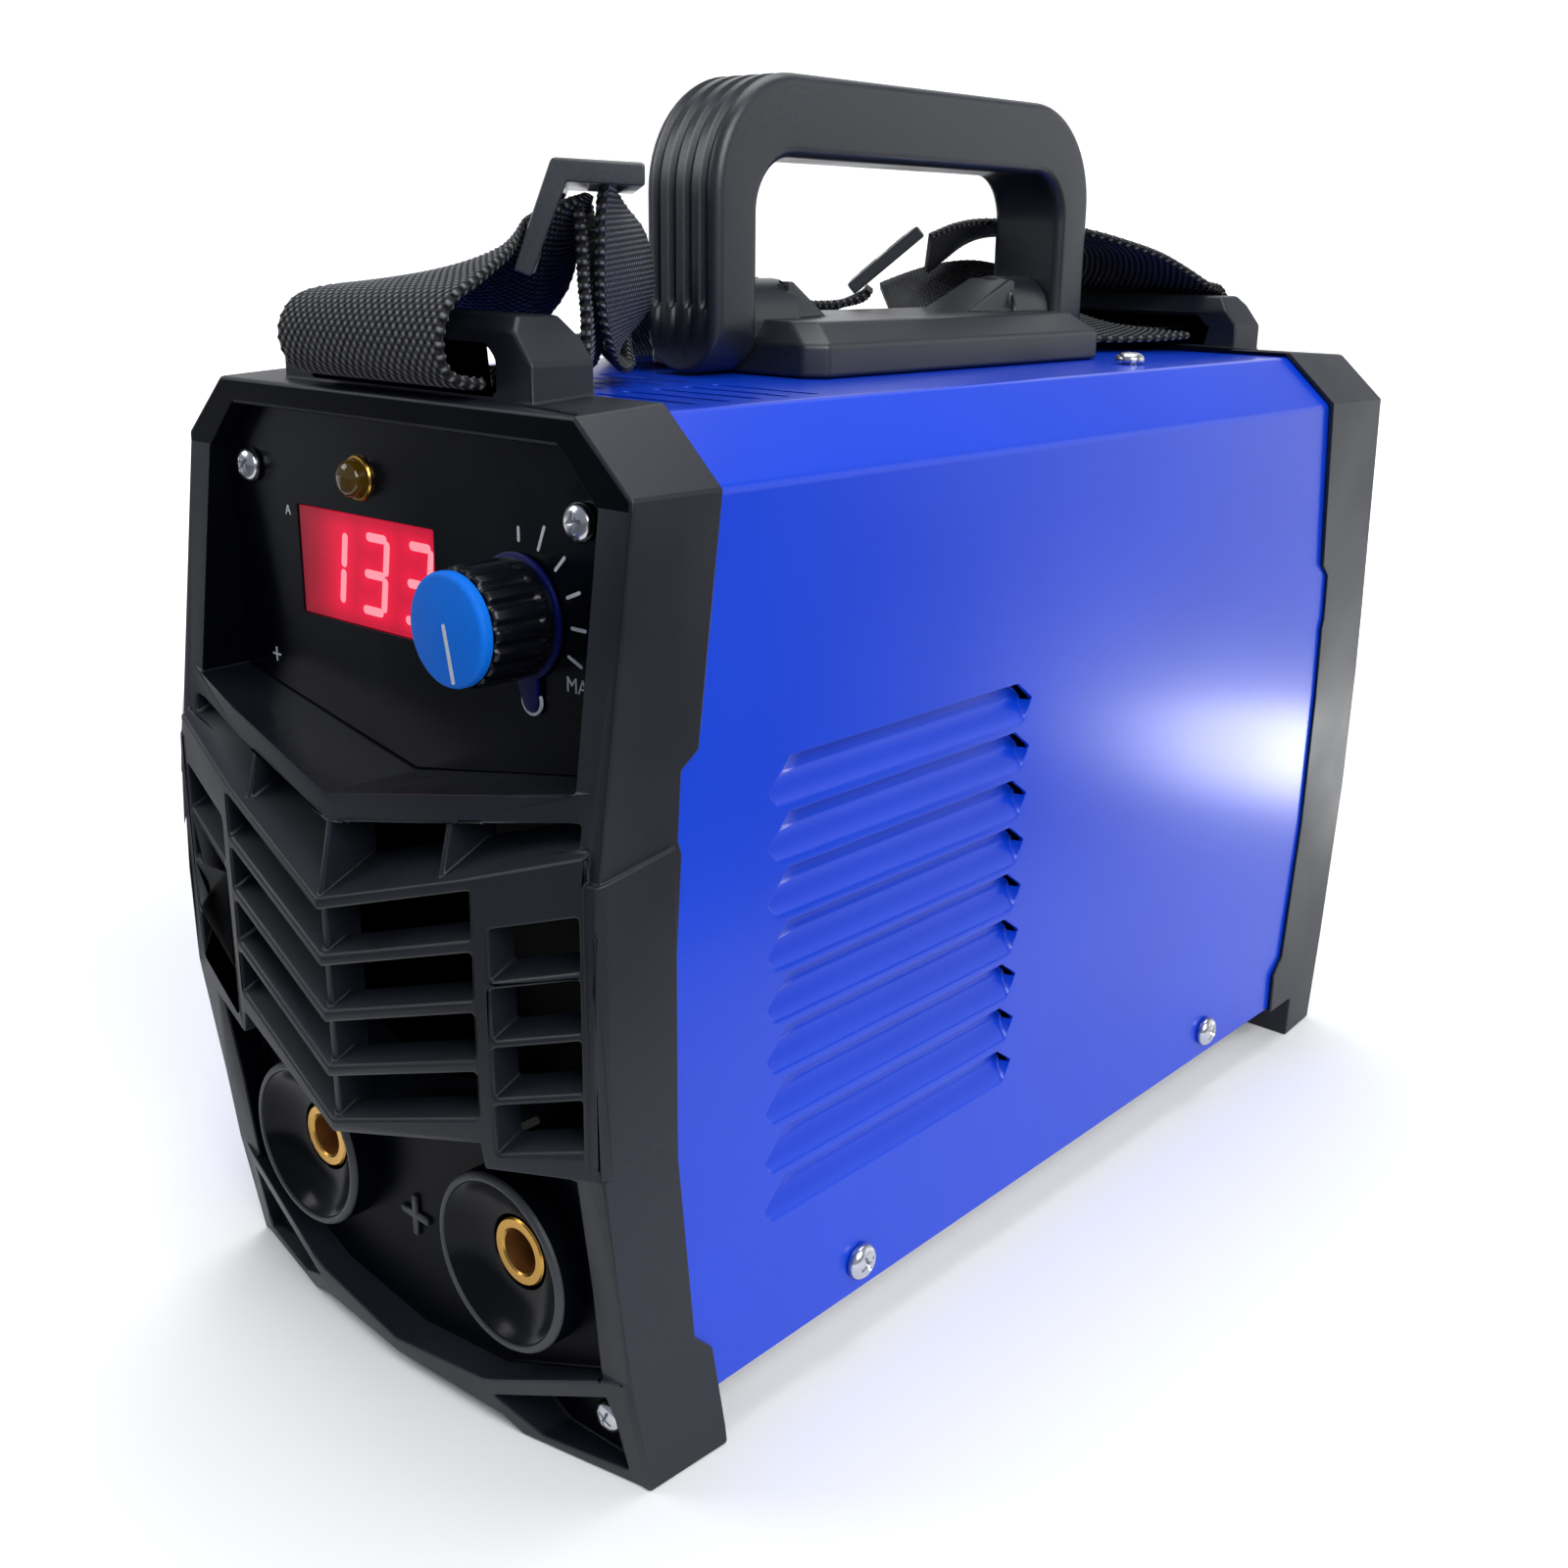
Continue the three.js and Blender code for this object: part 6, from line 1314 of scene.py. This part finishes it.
# how far each screw is turned, in radians
SCREW_TURNS = [0.3, 1.1, 0.75, 0.2, 0.6, 1.3, 0.45, 0.95, 0.1, 0.5]
screws = sorted(name for name in frame["nodes"] if "_screw_" in name)
for turn, node in zip(SCREW_TURNS, screws):
    way = Vector(next(way for start, way in SCREW_WAYS.items() if node.startswith(start)))
    low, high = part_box(node)
    radius = min(high - low) / 2 / MM
    tip = Vector([high[i] if way[i] > 0 else low[i] if way[i] < 0 else (low[i] + high[i]) / 2
                  for i in range(3)])
    seat = Matrix.Translation(tip - way * radius * HEAD_TALL * MM)
    data = HEAD.copy()
    data.transform(Matrix.Rotation(turn, 4, "Z"))
    data.transform(seat @ way.to_track_quat("Z", "Y").to_matrix().to_4x4() @ Matrix.Scale(radius, 4))
    for_node(node, data, smooth=30)
print("screws:", len(screws))

# %% [markdown]
# ## Shoulder strap
# The strap is one length of webbing that runs through both brackets and both adjusters. Three stretches
# show, and the loose tail that hangs out of the front adjuster. Each follows two edge curves through points
# in millimetres: across and along the machine, and above the cover's top. The cloth between them is a fine
# grid with its own weave: the cords cross every millimetre, and each crossing stands up or lies down by
# turns, which gives the staggered pips. A cloth simulation would lose that weave.

# %% Strap routes
WEB, WEB_EDGE, WEB_THICK = 48.0, 25.0, 2.0


def wrapped(x, points):
    """One edge of the webbing where it runs round a bracket."""
    return [(x, y, height) for y, height in points]


FRONT_WRAP = [(-113, 3.8), (-122, 3.8), (-131, 3.5), (-136, 5.5), (-137.4, 10.7)]
FRONT_NEAR = wrapped(WEB_EDGE, FRONT_WRAP) + [
    (25, -134.6, 17.1), (25, -129, 20.5), (24, -121, 25.5), (20.9, -115.5, 30), (22.8, -112.1, 31.9),
    (26.1, -108.4, 33.9), (27.4, -106.9, 34.5)]
FRONT_FAR = wrapped(WEB_EDGE - WEB, FRONT_WRAP) + [
    (-23, -134.4, 15.3), (-22.5, -127, 17.3), (-21.5, -110, 16.5), (-18, -93, 10.5), (-15.5, -85, 10),
    (-12, -79.5, 16.5), (-10, -77, 27)]
TAIL_NEAR = [(25.2, -107.9, 33.4), (24.6, -106.6, 27), (24.2, -106, 20), (24.4, -105.6, 13), (25, -107, 6),
             (25.4, -110.2, 3.2)]
TAIL_FAR = [(-8.7, -74.8, 33.4), (-9.2, -73, 27), (-9.6, -72.4, 20), (-9.2, -72, 13), (-8.2, -73, 7),
            (-7.4, -75.2, 3.4)]
SIDE_NEAR = [(29.4, -104.6, 39.1), (28.4, -105.2, 32.7), (26.5, -104, 26.7), (23, -101, 16.2),
             (19.5, -95.5, 8), (14.5, -88, 3.8), (8, -79, 3.4), (0, -72, 7), (-12, -60, 14),
             (-16.5, -46, 18.7), (-17.2, -26, 19.7), (-19.5, -8, 17.7), (-25.6, 4, 14.2), (-30, 13, 12.9),
             (-31.4, 22, 12.1), (-29.4, 31, 12.3), (-27.6, 36, 13.7), (-26.9, 37.1, 15.3)]
SIDE_FAR = [(-6.5, -72.8, 39.1), (-5, -69.4, 33.5), (-3, -65.5, 28), (-4, -62.4, 17), (-12, -60.8, 9.5),
            (-23, -60.5, 6.5), (-31, -56, 6), (-42, -50, 5.5), (-51, -36, 4.5), (-56, -24, 1),
            (-60, -8, -1.6), (-60.6, 10, -2.5), (-61, 32, -0.3), (-61.4, 47, 3.7), (-61.2, 60, 8.1),
            (-59.4, 68.5, 11.5), (-57.6, 73.2, 13.7), (-56.9, 74.3, 15.3)]
REAR_WRAP = [(121, 17.4), (127.6, 16.4), (131.2, 13.1), (131.4, 8.3), (127.4, 5.1)]
REAR_NEAR = [(-15, 46.6, 29.1), (-14.8, 57, 31.7), (-15.2, 70, 32.9), (-9, 85, 32.3), (5, 89.4, 30.5),
             (14, 93.4, 28.1), (20, 102.6, 24.9), (23.4, 112.7, 20.7)] + wrapped(WEB_EDGE, REAR_WRAP) + [
    (24, 117, 4.3), (19.5, 101, 3.5), (11, 87, 3.3), (-5, 84.6, 4.1), (-15, 77.4, 5.7),
    (-24, 71.4, 7.1), (-28.6, 64, 8.3), (-30.2, 57, 9.3), (-30.8, 51, 9.9)]
REAR_FAR = [(-43, 82, 19.5), (-43, 90, 23.5), (-43.5, 98, 27), (-42, 104, 29.5), (-39, 108, 30.1),
            (-34, 111.5, 28.3), (-29, 115, 25.3),
            (-24.4, 118.4, 21.1)] + wrapped(WEB_EDGE - WEB, REAR_WRAP) + [
    (-23.4, 119, 5.3), (-24, 111.4, 10.3), (-25, 107.2, 16.1), (-30, 103, 20.3), (-38, 98, 22.3),
    (-46, 92, 21.3), (-53, 89, 19.1), (-58, 87, 17.1), (-61.4, 84.4, 15.3)]


def through(points, fine=14):
    """A centripetal curve through points, sampled evenly between each two of them."""
    spots = [Vector(p) for p in points]
    spots = [spots[0] * 2 - spots[1]] + spots + [spots[-1] * 2 - spots[-2]]
    curve = []
    for p0, p1, p2, p3 in zip(spots, spots[1:], spots[2:], spots[3:]):
        d0, d1, d2 = [max(1e-3, (b - a).length ** 0.5) for a, b in ((p0, p1), (p1, p2), (p2, p3))]
        out = ((p1 - p0) / d0 - (p2 - p0) / (d0 + d1) + (p2 - p1) / d1) * d1
        into = ((p2 - p1) / d1 - (p3 - p1) / (d1 + d2) + (p3 - p2) / d2) * d1
        for i in range(fine):
            t = i / fine
            curve.append(p1 + out * t + (3 * (p2 - p1) - 2 * out - into) * t ** 2
                         + (2 * (p1 - p2) + out + into) * t ** 3)
    return curve + [spots[-2]]


near_edges = (FRONT_NEAR, SIDE_NEAR, REAR_NEAR, TAIL_NEAR)
print("points along the strap:", sum(len(route) for route in near_edges))

# %% Strap cloth
STEPS_ACROSS = 2 * round(WEB / CORD_PITCH)
PIP_TALL, SELVEDGE_WAVE = 0.26, 0.28
# the cloth is thinner by a share of the pips, and thinner again beside its edge
PIP_SHARE, EDGE_SHARE = 0.4, 0.72
# the strap's direction is taken over this many stations each way; its two faces lie apart in the noise
LOOK_AHEAD, FACE_SHIFT = 3, 5.0


def evenly(near, far, step):
    """Stations a step apart along the middle of a band: its near and far edge points, and the distance."""
    middle = [(a + b) / 2 for a, b in zip(near, far)]
    run = [0.0]
    for a, b in zip(middle, middle[1:]):
        run.append(run[-1] + (b - a).length)
    count = max(2, round(run[-1] / step))
    made, i = [], 0
    for k in range(count + 1):
        goal = run[-1] * k / count
        while i < len(run) - 2 and run[i + 1] < goal:
            i += 1
        t = (goal - run[i]) / (run[i + 1] - run[i])
        made.append((near[i].lerp(near[i + 1], t), far[i].lerp(far[i + 1], t), goal))
    return made


def cloth_row(form, lay, k, station, normal):
    """One closed row of points round the cloth: across its upper face, and back across its lower face."""
    near, far, along = station
    side, wave = (far - near).normalized(), math.sin(math.pi * k / 2)
    upper, lower = [], []
    for c in range(STEPS_ACROSS + 1):
        middle, inside = near.lerp(far, c / STEPS_ACROSS), min(c, STEPS_ACROSS - c)
        if inside:
            half_thick = WEB_THICK / 2 * (EDGE_SHARE if inside == 1 else 1) - PIP_TALL * PIP_SHARE
            offset = normal * (half_thick + math.sin(math.pi * c / 2) * wave * PIP_TALL)
            lower.append((c, -1, middle - offset))
        else:
            offset = side * SELVEDGE_WAVE * wave * (-1 if c == 0 else 1)
        upper.append((c, 1, middle + offset))
    made = []
    for c, face, spot in upper + lower[::-1]:
        vertex = form.verts.new(at(spot.x, spot.y, COVER_TOP + spot.z))
        vertex[lay] = Vector((c * CORD_PITCH / 2, along, face * FACE_SHIFT))
        made.append(vertex)
    return made


def webbing(name, near_points, far_points):
    """A stretch of the strap as mesh data, closed all round and at both ends."""
    stations = evenly(through(near_points), through(far_points), CORD_PITCH / 2)
    form = bmesh.new()
    lay = form.verts.layers.float_vector.new("lay")
    rows = []
    for k, (near, far, along) in enumerate(stations):
        ahead, behind = stations[min(k + LOOK_AHEAD, len(stations) - 1)], stations[max(k - LOOK_AHEAD, 0)]
        tangent = (ahead[0] + ahead[1]) - (behind[0] + behind[1])
        rows.append(cloth_row(form, lay, k, (near, far, along), tangent.cross(far - near).normalized()))
    skinned(form, rows, closed=True)
    for row in (rows[0], rows[-1]):
        for c in range(STEPS_ACROSS):
            corners = list(dict.fromkeys((row[c], row[c + 1], row[(-c - 1) % len(row)], row[-c % len(row)])))
            if len(corners) > 2:
                form.faces.new(corners)
    data = from_form(form, name)
    print(name, round(stations[-1][2]), "mm long,", len(data.polygons), "faces")
    return data


for_node("strap_front", webbing("strap_front", FRONT_NEAR, FRONT_FAR), smooth=180)
for_node("strap_side", webbing("strap_side", SIDE_NEAR, SIDE_FAR), smooth=180)
for_node("strap_rear", webbing("strap_rear", REAR_NEAR, REAR_FAR), smooth=180)
piece("strap_tail", webbing("strap_tail", TAIL_NEAR, TAIL_FAR), WEBBING, "machine", smooth=180)
